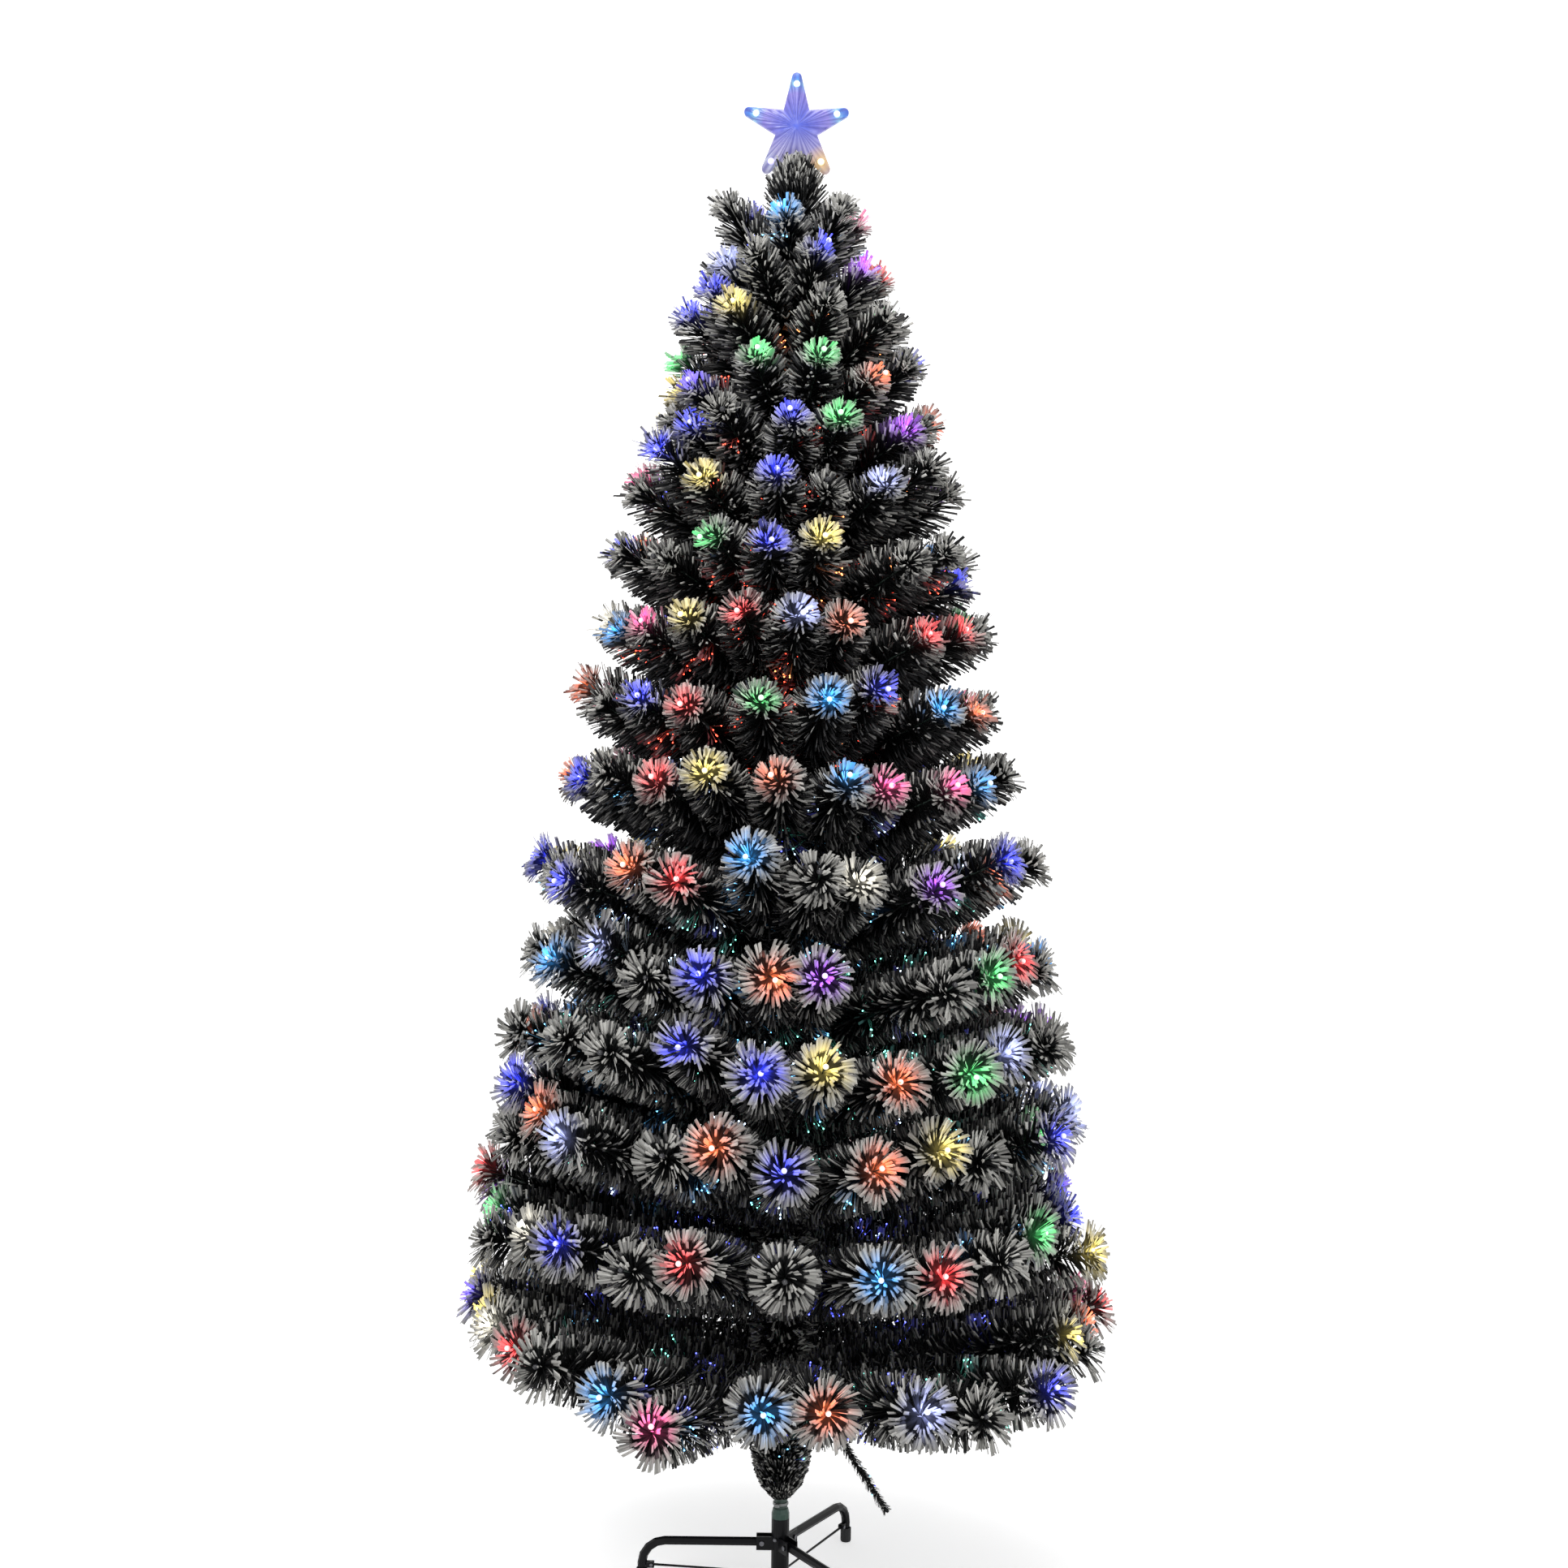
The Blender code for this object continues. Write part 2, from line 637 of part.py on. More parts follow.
def make_trunk():
    """Three steel tubes. Each upper one has a spigot in the bore of the one below."""
    turned(
        "trunk_lower",
        [
            (TRUNK_RADIUS, LOWER_JOINT_HEIGHT),
            (TRUNK_RADIUS, TRUNK_FOOT),
            (TRUNK_BORE, TRUNK_FOOT),
            (TRUNK_BORE, LOWER_JOINT_HEIGHT),
        ],
        TRUNK_PAINT,
    )
    seat = LOWER_JOINT_HEIGHT + CLEARANCE
    spigot_bore = SPIGOT_RADIUS - TRUNK_WALL
    turned(
        "trunk_middle",
        [
            (TRUNK_RADIUS, UPPER_JOINT_HEIGHT),
            (TRUNK_RADIUS, seat),
            (SPIGOT_RADIUS, seat),
            (SPIGOT_RADIUS, seat - SPIGOT_LENGTH),
            (spigot_bore, seat - SPIGOT_LENGTH),
            (spigot_bore, seat + SWAGE_LENGTH),
            (TRUNK_BORE, seat + 2 * SWAGE_LENGTH),
            (TRUNK_BORE, UPPER_JOINT_HEIGHT),
        ],
        TRUNK_PAINT,
    )
    seat = UPPER_JOINT_HEIGHT + CLEARANCE
    top_bore = TRUNK_TOP_RADIUS - TRUNK_WALL
    turned(
        "trunk_upper",
        [
            (TRUNK_TOP_RADIUS, TRUNK_TOP_HEIGHT),
            (TRUNK_TOP_RADIUS, seat + BEAD_HEIGHT),
            (TRUNK_RADIUS, seat + BEAD_HEIGHT / 2),
            (TRUNK_RADIUS, seat),
            (TRUNK_TOP_RADIUS, seat),
            (TRUNK_TOP_RADIUS, seat - SPIGOT_LENGTH),
            (top_bore, seat - SPIGOT_LENGTH),
            (top_bore, TRUNK_TOP_HEIGHT),
        ],
        TRUNK_PAINT,
    )


def make_tie():
    """The white cable tie round the trunk above the bush."""
    inner = TRUNK_RADIUS + CLEARANCE
    outer = inner + TIE_THICKNESS
    top = TIE_HEIGHT + TIE_WIDTH
    tie = turned(
        "cable_tie",
        [(outer, top), (outer, TIE_HEIGHT), (inner, TIE_HEIGHT), (inner, top)],
        WHITE_NYLON,
    )
    head = box(
        "cable_tie_head",
        (
            inner + TIE_THICKNESS / 2,
            -TIE_HEAD_WIDTH / 2,
            TIE_HEIGHT - CLEARANCE,
        ),
        (
            outer + TIE_HEAD_DEPTH,
            TIE_HEAD_WIDTH / 2,
            top + CLEARANCE,
        ),
    )
    head.rotation_euler = (0, 0, math.radians(TIE_HEAD_AZIMUTH_DEG))
    boolean(tie, head, "UNION")


def make_wrap(top):
    """The skirt of short needles that hangs round the trunk under the bottom tier."""
    height = top - WRAP_BOTTOM
    bore = TRUNK_RADIUS + CLEARANCE
    profile = [(bore, top)]
    for up, out in zip(WRAP_HEIGHT_SHARES, WRAP_RADIUS_SHARES):
        profile.append((WRAP_RADIUS * out, WRAP_BOTTOM + height * up))
    profile.append((bore, WRAP_BOTTOM))
    turned("trunk_wrap", profile, NEEDLES)


def brush_radius(diameter, shoulder, tilt, count):
    """Half the brush's diameter, or what stays clear of the brushes on both sides."""
    wedge = math.tan(math.pi / count)
    corner = math.radians(BRUSH_TURN_DEG)
    widest = math.cos(corner) + math.sin(corner) * math.sin(tilt) * wedge
    return min(diameter / 2, NEIGHBOUR_FIT_SHARE * shoulder * wedge / widest)


def brush_run(azimuth, root_height, tilt, start, shoulder, radius):
    """One branch tip, which widens to the rosette at its end and closes in a low dome."""
    end = shoulder + 2 * radius * BRUSH_DOME_SHARE * math.cos(tilt)
    run = []
    for reach, size in (
        (start, radius * start / shoulder),
        (shoulder, radius),
        (end, 0),
    ):
        point = (
            reach * math.cos(azimuth),
            reach * math.sin(azimuth),
            root_height + reach * math.tan(tilt),
        )
        run.append((point, size))
    return run


def make_loose_branch(rim, collar_bottom):
    """The thin fiber branch that hangs out from the bottom tier's collar."""
    azimuth = math.radians(LOOSE_AZIMUTH_DEG)
    root_radius = LOOSE_RADIUS * LOOSE_RADIUS_SHARES[0]
    start_reach = rim * math.cos(math.pi / ROUND_SIDES) + CLEARANCE
    start_height = collar_bottom + root_radius
    span = LOOSE_END_REACH - start_reach
    drop = start_height - LOOSE_END_HEIGHT
    run = []
    for out, down, size in zip(
        LOOSE_REACH_SHARES, LOOSE_DROP_SHARES, LOOSE_RADIUS_SHARES
    ):
        reach = start_reach + span * out
        point = (
            reach * math.cos(azimuth),
            reach * math.sin(azimuth),
            start_height - drop * down,
        )
        run.append((point, LOOSE_RADIUS * size))
    tubes("loose_branch", [run], 1, NEEDLES)


def trunk_radius_above(height):
    """The trunk's radius for a collar whose lower edge isn't under this height."""
    bead_top = UPPER_JOINT_HEIGHT + CLEARANCE + BEAD_HEIGHT
    return TRUNK_TOP_RADIUS if height > bead_top else TRUNK_RADIUS


def make_tier(name, tip_height, tip_reach, tilt_deg, count, diameter, turn):
    """A taped collar on the trunk with its ring of branch tips."""
    tilt = math.radians(tilt_deg)
    root_height = tip_height - tip_reach * math.tan(tilt)
    bore = trunk_radius_above(root_height - COLLAR_HEIGHT / 2) + CLEARANCE
    rim = bore + COLLAR_THICKNESS
    start = rim - BRUSH_ROOT_INSET
    middle = root_height + (start + rim) / 2 * math.tan(tilt)
    top = middle + COLLAR_HEIGHT / 2
    bottom = middle - COLLAR_HEIGHT / 2
    collar = turned(
        name,
        [(rim, top), (rim, bottom), (bore, bottom), (bore, top)],
        NEEDLES,
    )
    shoulder = tip_reach + BRUSH_OVERHANG * diameter / BRUSH_DIAMETER
    radius = brush_radius(diameter, shoulder, tilt, count)
    runs = []
    for index in range(count):
        azimuth = math.tau * (index + turn) / count
        runs.append(
            brush_run(azimuth, root_height, tilt, start, shoulder, radius)
        )
    brushes = tubes(f"{name}_brushes", runs, 1, tilt=math.radians(BRUSH_TURN_DEG))
    boolean(collar, brushes, "UNION")
    return rim, bottom


def make_tiers():
    """All the tiers, the brush at the top, and what hangs under the lowest collar."""
    tiers = zip(
        TIP_HEIGHT_SHARES,
        TIP_REACH_SHARES,
        TIER_TILTS_DEG,
        TIER_TIP_COUNTS,
        BRUSH_DIAMETER_SHARES,
        TIER_TURN_SHARES,
    )
    for index, (height, reach, tilt, count, brush, turn) in enumerate(tiers):
        rim, bottom = make_tier(
            f"tier_{index + 1:02d}",
            TREE_HEIGHT * height,
            CROWN_REACH * reach,
            tilt,
            count,
            BRUSH_DIAMETER * brush,
            turn,
        )
        if index == 0:
            make_loose_branch(rim, bottom)
            make_wrap(bottom - CLEARANCE)
    make_tier(
        "top_brush",
        CROWN_BRUSH_HEIGHT,
        CROWN_BRUSH_REACH,
        CROWN_BRUSH_TILT_DEG,
        CROWN_BRUSH_TIPS,
        CROWN_BRUSH_DIAMETER,
        CROWN_BRUSH_TURN_SHARE,
    )


def star_outline():
    """A five-pointed star with rounded tips, in the X and Z of its own centre."""
    points = []
    for index in range(POINTS):
        ray = math.pi / 2 + math.tau * index / POINTS
        notch = ray + math.pi / POINTS
        heart = STAR_RADIUS - STAR_TIP_ROUND
        for turn in STAR_TIP_TURNS_DEG:
            angle = ray + math.radians(turn)
            points.append(
                (
                    heart * math.cos(ray) + STAR_TIP_ROUND * math.cos(angle),
                    heart * math.sin(ray) + STAR_TIP_ROUND * math.sin(angle),
                )
            )
        points.append(
            (STAR_NOTCH_RADIUS * math.cos(notch), STAR_NOTCH_RADIUS * math.sin(notch))
        )
    return points


def make_star_shell(name, facing):
    """Half of the hollow star: rings of its outline, domed out from the rim."""
    outline = star_outline()
    count = len(outline)
    shape = bmesh.new()
    rings = []
    for share, deep in zip(STAR_RING_SHARES, STAR_RING_DEPTH_SHARES):
        out = CLEARANCE / 2 + STAR_DEPTH * deep
        rings.append(
            [
                shape.verts.new((x * share, facing * out, z * share))
                for x, z in outline
            ]
        )
    middle = shape.verts.new((0, facing * (CLEARANCE / 2 + STAR_DEPTH), 0))
    for inner, outer in zip(rings[1:], rings):
        for i in range(count):
            j = (i + 1) % count
            shape.faces.new((outer[i], outer[j], inner[j], inner[i]))
    for i in range(count):
        shape.faces.new((rings[-1][i], rings[-1][(i + 1) % count], middle))
    bmesh.ops.recalc_face_normals(shape, faces=shape.faces)
    outward = sum(face.normal.y for face in shape.faces) * facing > 0
    if not outward:
        bmesh.ops.reverse_faces(shape, faces=shape.faces)
    mesh = bpy.data.meshes.new(name)
    shape.to_mesh(mesh)
    shape.free()
    shell = add_object(name, mesh, CLEAR_PLASTIC)
    shell.location = (0, 0, STAR_CENTRE_HEIGHT)
    wall = shell.modifiers.new("Wall", "SOLIDIFY")
    wall.thickness = STAR_WALL
    wall.offset = -1
    wall.use_even_offset = True
    mouth = rod(
        f"{name}_mouth",
        SOCKET_STEM_RADIUS + CLEARANCE,
        (0, 0, -STAR_NOTCH_RADIUS - STAR_TIP_ROUND),
        (0, 0, -STAR_HUB_RADIUS - STAR_TIP_ROUND),
    )
    mouth.location = shell.location
    boolean(shell, mouth, "DIFFERENCE")


def make_star_socket():
    """The plastic holder that slips over the trunk's top and carries the star."""
    bore = TRUNK_TOP_RADIUS + CLEARANCE
    roof = TRUNK_TOP_HEIGHT + CLEARANCE
    stem_top = STAR_CENTRE_HEIGHT - STAR_HUB_RADIUS - CLEARANCE
    turned(
        "star_socket",
        [
            (0, stem_top),
            (SOCKET_TIP_RADIUS, stem_top),
            (SOCKET_STEM_RADIUS, stem_top - SOCKET_STEM_RADIUS),
            (SOCKET_STEM_RADIUS, SOCKET_SHOULDER),
            (SOCKET_RADIUS, (SOCKET_SHOULDER + roof) / 2),
            (SOCKET_RADIUS, SOCKET_BOTTOM),
            (bore, SOCKET_BOTTOM),
            (bore, roof),
            (0, roof),
        ],
        WHITE_NYLON,
        closed=False,
    )


def make_star_lights():
    """Five lamps on wires from a hub in the star's middle."""
    hub = rod(
        "star_led_string",
        STAR_HUB_RADIUS,
        (0, -STAR_HUB_DEPTH / 2, 0),
        (0, STAR_HUB_DEPTH / 2, 0),
    )
    hub.data.materials.append(LAMP)
    hub.location = (0, 0, STAR_CENTRE_HEIGHT)
    runs = []
    for index in range(POINTS):
        ray = math.pi / 2 + math.tau * index / POINTS
        out = Vector((math.cos(ray), 0, math.sin(ray)))
        back = STAR_BULB_REACH - STAR_BULB_LENGTH / 2
        front = STAR_BULB_REACH + STAR_BULB_LENGTH / 2
        runs.append(
            [
                (out * STAR_HUB_RADIUS / 2, STAR_WIRE_RADIUS),
                (out * (back - STAR_BULB_RADIUS), STAR_WIRE_RADIUS),
                (out * back, STAR_BULB_RADIUS),
                (out * front, STAR_BULB_RADIUS),
                (out * (front + STAR_BULB_RADIUS), STAR_WIRE_RADIUS),
            ]
        )
    lamps = tubes("star_lamps", runs, 1)
    lamps.location = hub.location
    boolean(hub, lamps, "UNION")


clear_scene()
TREE = make_collection("fiber_optic_christmas_tree", True)
CUTTERS = make_collection("cutters", False)
BLACK_PAINT = make_material("black_paint", (0.018, 0.018, 0.021), 0.35, 0.4)
TRUNK_PAINT = make_material("trunk_paint", (0.02, 0.06, 0.045), 0.5, 0.3)
STEEL = make_material("bright_steel", (0.6, 0.6, 0.62), 0.3, 1.0)
BLACK_RUBBER = make_material("black_rubber", (0.02, 0.02, 0.022), 0.7)
GREEN_PLASTIC = make_material("green_plastic", (0.03, 0.11, 0.08), 0.5)
WHITE_NYLON = make_material("white_nylon", (0.75, 0.75, 0.75), 0.45)
NEEDLES = make_material("frosted_needles", (0.26, 0.28, 0.28), 0.6)
CLEAR_PLASTIC = make_material("clear_plastic", (0.45, 0.45, 0.85), 0.15)
LAMP = make_material("lamp_plastic", (0.85, 0.87, 1.0), 0.3)
make_sleeve()
make_bush()
for leg_side, leg_azimuth in LEG_AZIMUTHS_DEG.items():
    make_leg(leg_side, leg_azimuth)
make_screw()
make_trunk()
make_tie()
make_tiers()
make_star_shell("star_front_shell", -1)
make_star_shell("star_back_shell", 1)
make_star_socket()
make_star_lights()
for shown in TREE.objects:
    if shown.type == "MESH":
        smooth(shown)
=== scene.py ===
"""Looks of the fiber optic christmas tree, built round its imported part, in metres, +Z up."""

import math
from typing import NamedTuple

import bpy
import numpy as np
from mathutils import Matrix, Vector


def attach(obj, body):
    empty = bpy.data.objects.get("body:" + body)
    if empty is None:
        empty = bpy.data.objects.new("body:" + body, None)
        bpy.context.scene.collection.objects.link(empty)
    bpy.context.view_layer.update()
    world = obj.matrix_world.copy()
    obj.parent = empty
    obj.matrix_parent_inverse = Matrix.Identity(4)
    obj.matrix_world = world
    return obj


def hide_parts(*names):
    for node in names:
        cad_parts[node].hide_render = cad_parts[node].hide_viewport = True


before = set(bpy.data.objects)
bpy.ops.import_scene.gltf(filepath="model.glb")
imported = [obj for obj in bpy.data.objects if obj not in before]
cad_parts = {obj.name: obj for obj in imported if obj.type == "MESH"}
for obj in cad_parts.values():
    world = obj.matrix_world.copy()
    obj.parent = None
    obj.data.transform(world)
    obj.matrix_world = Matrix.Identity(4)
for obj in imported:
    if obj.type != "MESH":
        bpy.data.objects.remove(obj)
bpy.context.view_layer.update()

# The part's own sizes, repeated here because the visual branches follow its tiers.
TREE_HEIGHT = 2.10
CROWN_REACH = 0.44
TRUNK_RADIUS = 0.0095
ROOT_SHARE = 1.2
STAR_RADIUS = 0.075
STAR_CENTRE = Vector((0.0, 0.0, TREE_HEIGHT - STAR_RADIUS))
TIP_HEIGHT_SHARES = (
    0.180, 0.253, 0.3143, 0.369, 0.422, 0.4815, 0.541, 0.5876,
    0.6386, 0.6852, 0.728, 0.767, 0.806, 0.838, 0.8705, 0.9048,
)
TIP_REACH_SHARES = (
    1.0, 0.943, 0.875, 0.841, 0.773, 0.739, 0.659, 0.602,
    0.557, 0.523, 0.466, 0.409, 0.364, 0.318, 0.273, 0.193,
)
TIER_TILTS_DEG = (13, 15, 17, 18, 19, 21, 23, 24, 26, 28, 31, 34, 37, 41, 46, 54)
TIER_TIP_COUNTS = (28, 26, 24, 24, 22, 22, 20, 18, 18, 16, 16, 14, 12, 10, 8, 6)
TIER_TURN_SHARES = (
    0.6, 0.5, 0.2, 0.6, 0.3, 0.9, 0.8, 0.0,
    0.7, 0.6, 0.6, 0.4, 0.4, 0.9, 0.5, 0.2,
)
TIER_BODIES = ("trunk_lower",) * 5 + ("trunk_middle",) * 5 + ("trunk_upper",) * 6

# The camera, as worked out from the photograph.
PHOTO_SIZE = 1932
CAMERA_PLACE = Vector((-0.0067, -3.3, 1.2675))
CAMERA_PITCH_DEG = 2.46
CAMERA_ROLL_DEG = 0.65
CAMERA_LENS = 54.7
SENSOR_WIDTH = 36.0

# The tips seen in the photograph, as read off: pixel across, pixel down and the lamp's colour
# letter, or - where the tip is dark.
PHOTO_TIPS = """
960 252 c, 1022 297 b, 893 322 l, 873 352 b, 1072 325 p, 905 370 y, 1020 357 -,
933 428 g, 1015 430 g, 1090 458 o, 850 465 v, 830 480 y, 850 520 b, 973 503 b, 1037 508 g,
1117 527 p, 808 555 b, 862 585 y, 957 577 b, 1020 590 -, 1090 590 l, 862 662 g, 950 665 b,
1018 660 y, 1130 680 -, 805 685 -, 1180 712 b, 752 777 c, 790 765 m, 838 757 y, 908 753 r,
990 755 l, 1050 765 o, 1145 780 r, 1190 775 r, 785 857 b, 838 867 r, 937 860 g, 1022 862 c,
1095 850 b, 1163 872 c, 1210 878 o, 715 958 b, 802 957 r, 868 950 y, 950 955 o, 1047 955 c,
1100 968 m, 1180 967 m, 1220 965 c, 682 1085 b, 767 1066 o, 833 1083 r, 918 1057 c, 1010 1075 -,
1065 1083 w, 1162 1090 p, 1210 1085 o, 1245 1062 b, 675 1180 c, 728 1167 l, 795 1205 -,
860 1200 b, 955 1208 o, 1018 1203 p, 1085 1213 y, 1185 1215 -, 1233 1203 g, 1260 1185 r,
640 1262 o, 675 1280 -, 740 1298 -, 773 1300 r, 835 1292 b, 937 1323 b, 1018 1315 y,
1110 1333 o, 1203 1327 g, 1243 1297 l, 1295 1265 p, 635 1330 b, 633 1355 b, 660 1367 o,
683 1402 l, 745 1395 p, 815 1425 -, 877 1416 o, 967 1443 b, 1087 1440 o, 1168 1418 y,
1222 1425 -, 1275 1392 g, 1310 1400 b, 1312 1477 b, 1330 1495 b, 592 1437 r, 605 1490 g,
640 1510 w, 685 1533 b, 765 1565 -, 837 1558 r, 967 1580 -, 1085 1578 c, 1165 1573 r,
1245 1558 -, 1288 1520 g, 1345 1540 y, 573 1572 y, 573 1593 v, 590 1613 y, 602 1632 w,
625 1662 r, 660 1685 -, 738 1722 c, 803 1757 m, 880 1750 -, 940 1744 c, 1021 1742 o,
1080 1760 -, 1142 1740 l, 1215 1745 -, 1277 1727 m, 1305 1710 b, 1328 1650 y, 1345 1625 o,
1360 1605 r
"""
MATCH_PIXELS = 70
SEEN_FROM_FRONT = 0.5
BACK_PENALTY = 90
MOST_BEND = 0.042
MOST_EXTRA_REACH = 0.012
UNSEEN_BEND = 0.004
UNSEEN_LAMPS = "bbbccgyyorrmpvlw---"

LAMP_COLOURS = {
    "-": (0.3, 0.3, 0.3),
    "b": (0.03, 0.045, 1.0),
    "c": (0.045, 0.38, 1.0),
    "g": (0.1, 0.78, 0.2),
    "y": (0.95, 0.75, 0.17),
    "o": (1.0, 0.18, 0.06),
    "r": (1.0, 0.045, 0.05),
    "m": (1.0, 0.09, 0.32),
    "p": (0.4, 0.05, 1.0),
    "v": (0.13, 0.07, 1.0),
    "l": (0.42, 0.48, 1.0),
    "w": (0.9, 0.85, 0.7),
    "t": (0.04, 0.42, 0.36),
}
LETTERS = "".join(LAMP_COLOURS)
FIBER_COLOURS = {
    "r": (1.0, 0.06, 0.03),
    "o": (1.0, 0.28, 0.08),
    "t": (0.16, 0.78, 0.58),
    "c": (0.14, 0.55, 1.0),
    "w": (0.55, 0.75, 1.0),
    "b": (0.09, 0.11, 1.0),
}
FIBER_LETTERS = "".join(FIBER_COLOURS)
# The colours of the fiber ends in each tier, as the colour wheel lights them.
TIER_FIBERS = (
    "bbct", "bbbcw", "tcwwt", "tttcw", "ttcw", "ctcww", "cwwtb", "rror",
    "rrroo", "rroo", "rroorb", "rrro", "rroo", "rrro", "rob", "bc",
)

NEEDLES_PER_METRE = 1235
OUTER_NEEDLES_PER_METRE = 2560
OUTER_REACH = 0.14
OUTER_MOST_SHARE = 0.6
INNER_END_SHARE = 0.98
NEEDLE_LENGTH = 0.049
TOP_NEEDLE_SHARE = 0.84
NEEDLE_WIDTH = 0.0036
NEEDLE_THICKNESS = 0.0004
NEEDLE_SHADES = 8
# A needle's half width at its root, as a share of the width, and how much it grows to the end.
ROOT_HALF_SHARE, END_HALF_GAIN = 0.36, 0.14
# Painted shade deeper in a brush: how many shades darker needles get away from its tip, and over what
# distance.
INNER_PAINTED_SHADE = 2.2
INNER_DIM_REACH = 0.085
TIP_ZONE = 0.034
# Where a lamp's glow lies within its colour's stretch of the texture's u, and the length within v.
GLOW_START, GLOW_SPAN = 0.04, 0.92
LENGTH_START, LENGTH_SPAN = 0.02, 0.96
# Each part of a rosette: needles, least and most lean, shares of the length and the width, swirl,
# and how much of the brush's extra lean it follows.
ROSETTE_PARTS = ((52, 4, 34, 0.82, 1.25, 0.36, 0.9), (24, 42, 80, 0.60, 1.0, 0.22, 0.0))
ROSETTE_DEPTH = 0.006
# How far needles lean forward on the bottom tier's brushes and on the top tier's, which are fuller
# towards their tips.
BRUSH_LEANS_DEG = (12, 44)
LEAN_GROWTH = 0.8
FACE_SPREAD = 0.16
TRUNK_NEEDLE_SHARE = 0.9
TIP_LEAN_DEG = 24
TIP_SHORTER_SHARE = 0.22
TIP_WIDER_SHARE = 0.25
NEEDLE_WIDTH_SHARES = (0.8, 1.15)
TIP_CROWDING = 0.7
# The mean and the spread of a brush needle's sideways bend, and the spread of its other turns.
BRUSH_BEND_SHARES = (0.10, 0.05)
LEAN_SPREAD_DEG = 5
BRUSH_ROLL_SPREAD = 0.6
# From the middle tiers up, needles that point down get painted shade, a darker grey, and catch less
# of the lamps' painted light; all the needles along a brush get a little painted shade too.
# There the rosettes are shorter, the needles along a brush are longer, and all are thinner.
FIRST_SHADED_TIER = 4
SHADED_TIER_STEPS = 3
SHADED_DIMMING = 3.0
SHADED_GLOW_LOSS = 0.6
SHADED_BODY_DIMMING = 0.2
SHADED_ROSETTE_LOSS = 0.22
SHADED_BODY_GAIN = 0.16
SHADED_WIDTH_LOSS = 0.2
ROSETTE_STEPS = 3
GOLDEN_TURN = 2.39996
# The rosettes' needles take only the lighter shades: painted light on the open ends of the brushes.
ROSETTE_LEAST_SHADE = 4
ROSETTE_WIDTH_SHARES = (0.85, 1.15)
ROSETTE_OUTWARD_BEND = 0.12
ROSETTE_ROLL_SPREAD = 0.4
# Painted glow of fiber ends on nearby needles: reach, strength, and the lamp colour for each fiber
# colour.
HAZE_REACH = 0.013
HAZE_GLOW = 0.05
HAZE_LETTERS = dict(zip("rotcwb", "rotcbb"))
TRUNK_NEEDLES_PER_METRE = 5200
LAMP_REACH = 0.017
LAMP_ASKEW = 0.0055
GLOW_REACH = 0.0188
# A lamp lights the needles above it more than those below: level, gain and height of full gain.
LIFT_LEVEL, LIFT_GAIN, LIFT_HEIGHT = 0.82, 0.18, 0.03
SHADED_LOSS_DEPTH = 0.02
STEM_RADIUS = 0.0011
LAMP_RADIUS = 0.0038
BUNCHES_PER_METRE = 9
BUNCH_PLACE_SHARES = (0.3, 0.97)
BUNCH_DEPTH_SHARE = 0.85
FIBER_LENGTH_SHARES = (0.72, 1.02)
FIBERS_PER_BUNCH = 5
FIBER_RADIUS = 0.0003
FIBER_END_RADIUS = 0.0011
NEEDLE_GLOW = 4.6
LAMP_GLOW = 1.7
FIBER_GLOW = 7.0
STAR_GLOW = 0.5
STAGE_GLOW = 0.57

random = np.random.default_rng(7)


# Meshes from arrays

EAST = np.array([1.0, 0.0, 0.0])
NORTH = np.array([0.0, 1.0, 0.0])


def add_object(name, data):
    obj = bpy.data.objects.new(name, data)
    bpy.context.scene.collection.objects.link(obj)
    return obj


def new_piece(name, made, material, body, *replaced):
    """A mesh from (vertices, quads, triangles, texture), which rides on a body."""
    vertices, quads, triangles, texture = made
    mesh = bpy.data.meshes.new(name)
    corners = np.concatenate([quads.reshape(-1), triangles.reshape(-1)]).astype(np.int32)
    sizes = np.repeat([4, 3], [len(quads), len(triangles)])
    starts = np.cumsum(sizes) - sizes
    mesh.vertices.add(len(vertices))
    mesh.vertices.foreach_set("co", np.asarray(vertices, np.float32).reshape(-1))
    mesh.loops.add(len(corners))
    mesh.loops.foreach_set("vertex_index", corners)
    mesh.polygons.add(len(sizes))
    mesh.polygons.foreach_set("loop_start", starts.astype(np.int32))
    mesh.polygons.foreach_set("loop_total", sizes.astype(np.int32))
    layer = mesh.uv_layers.new(name="OFBake")
    layer.data.foreach_set("uv", np.asarray(texture, np.float32)[corners].reshape(-1))
    mesh.update(calc_edges=True)
    mesh.validate()
    mesh.materials.append(material)
    obj = add_object(name, mesh)
    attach(obj, body)
    if replaced:
        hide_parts(*replaced)


def joined(parts):
    """Joins (vertices, quads, triangles, texture) groups into one."""
    moved, offset = [], 0
    for vertices, quads, triangles, texture in parts:
        moved.append((vertices, quads + offset, triangles + offset, texture))
        offset += len(vertices)
    return tuple(np.concatenate(items) for items in zip(*moved))


def unit(v):
    return v / np.linalg.norm(v, axis=-1, keepdims=True)


def frame_of(direction):
    """Two directions square to each given one."""
    up = np.array([0.0, 0.0, 1.0])
    first = unit(np.cross(direction, up))
    return first, np.cross(first, direction)


def rings_round(ways, sides):
    """Directions square to each way, in even steps round it."""
    first, second = frame_of(ways)
    return turned(first[:, None], second[:, None], np.arange(sides) * math.tau / sides)[0]


def level_way(angle):
    """The level direction at an angle round the trunk."""
    return np.array([math.cos(angle), math.sin(angle), 0.0])


def turned(first, second, spin):
    """Directions at the angle spin from first to second, and the ones a quarter turn on."""
    cos, sin = np.cos(spin)[:, None], np.sin(spin)[:, None]
    return cos * first + sin * second, cos * second - sin * first


def run_texture(u, v_low, v_high, shares):
    """Texture places with one u, where v runs from v_low to v_high."""
    return np.stack([np.full(len(shares), u), v_low + (v_high - v_low) * shares], 1)


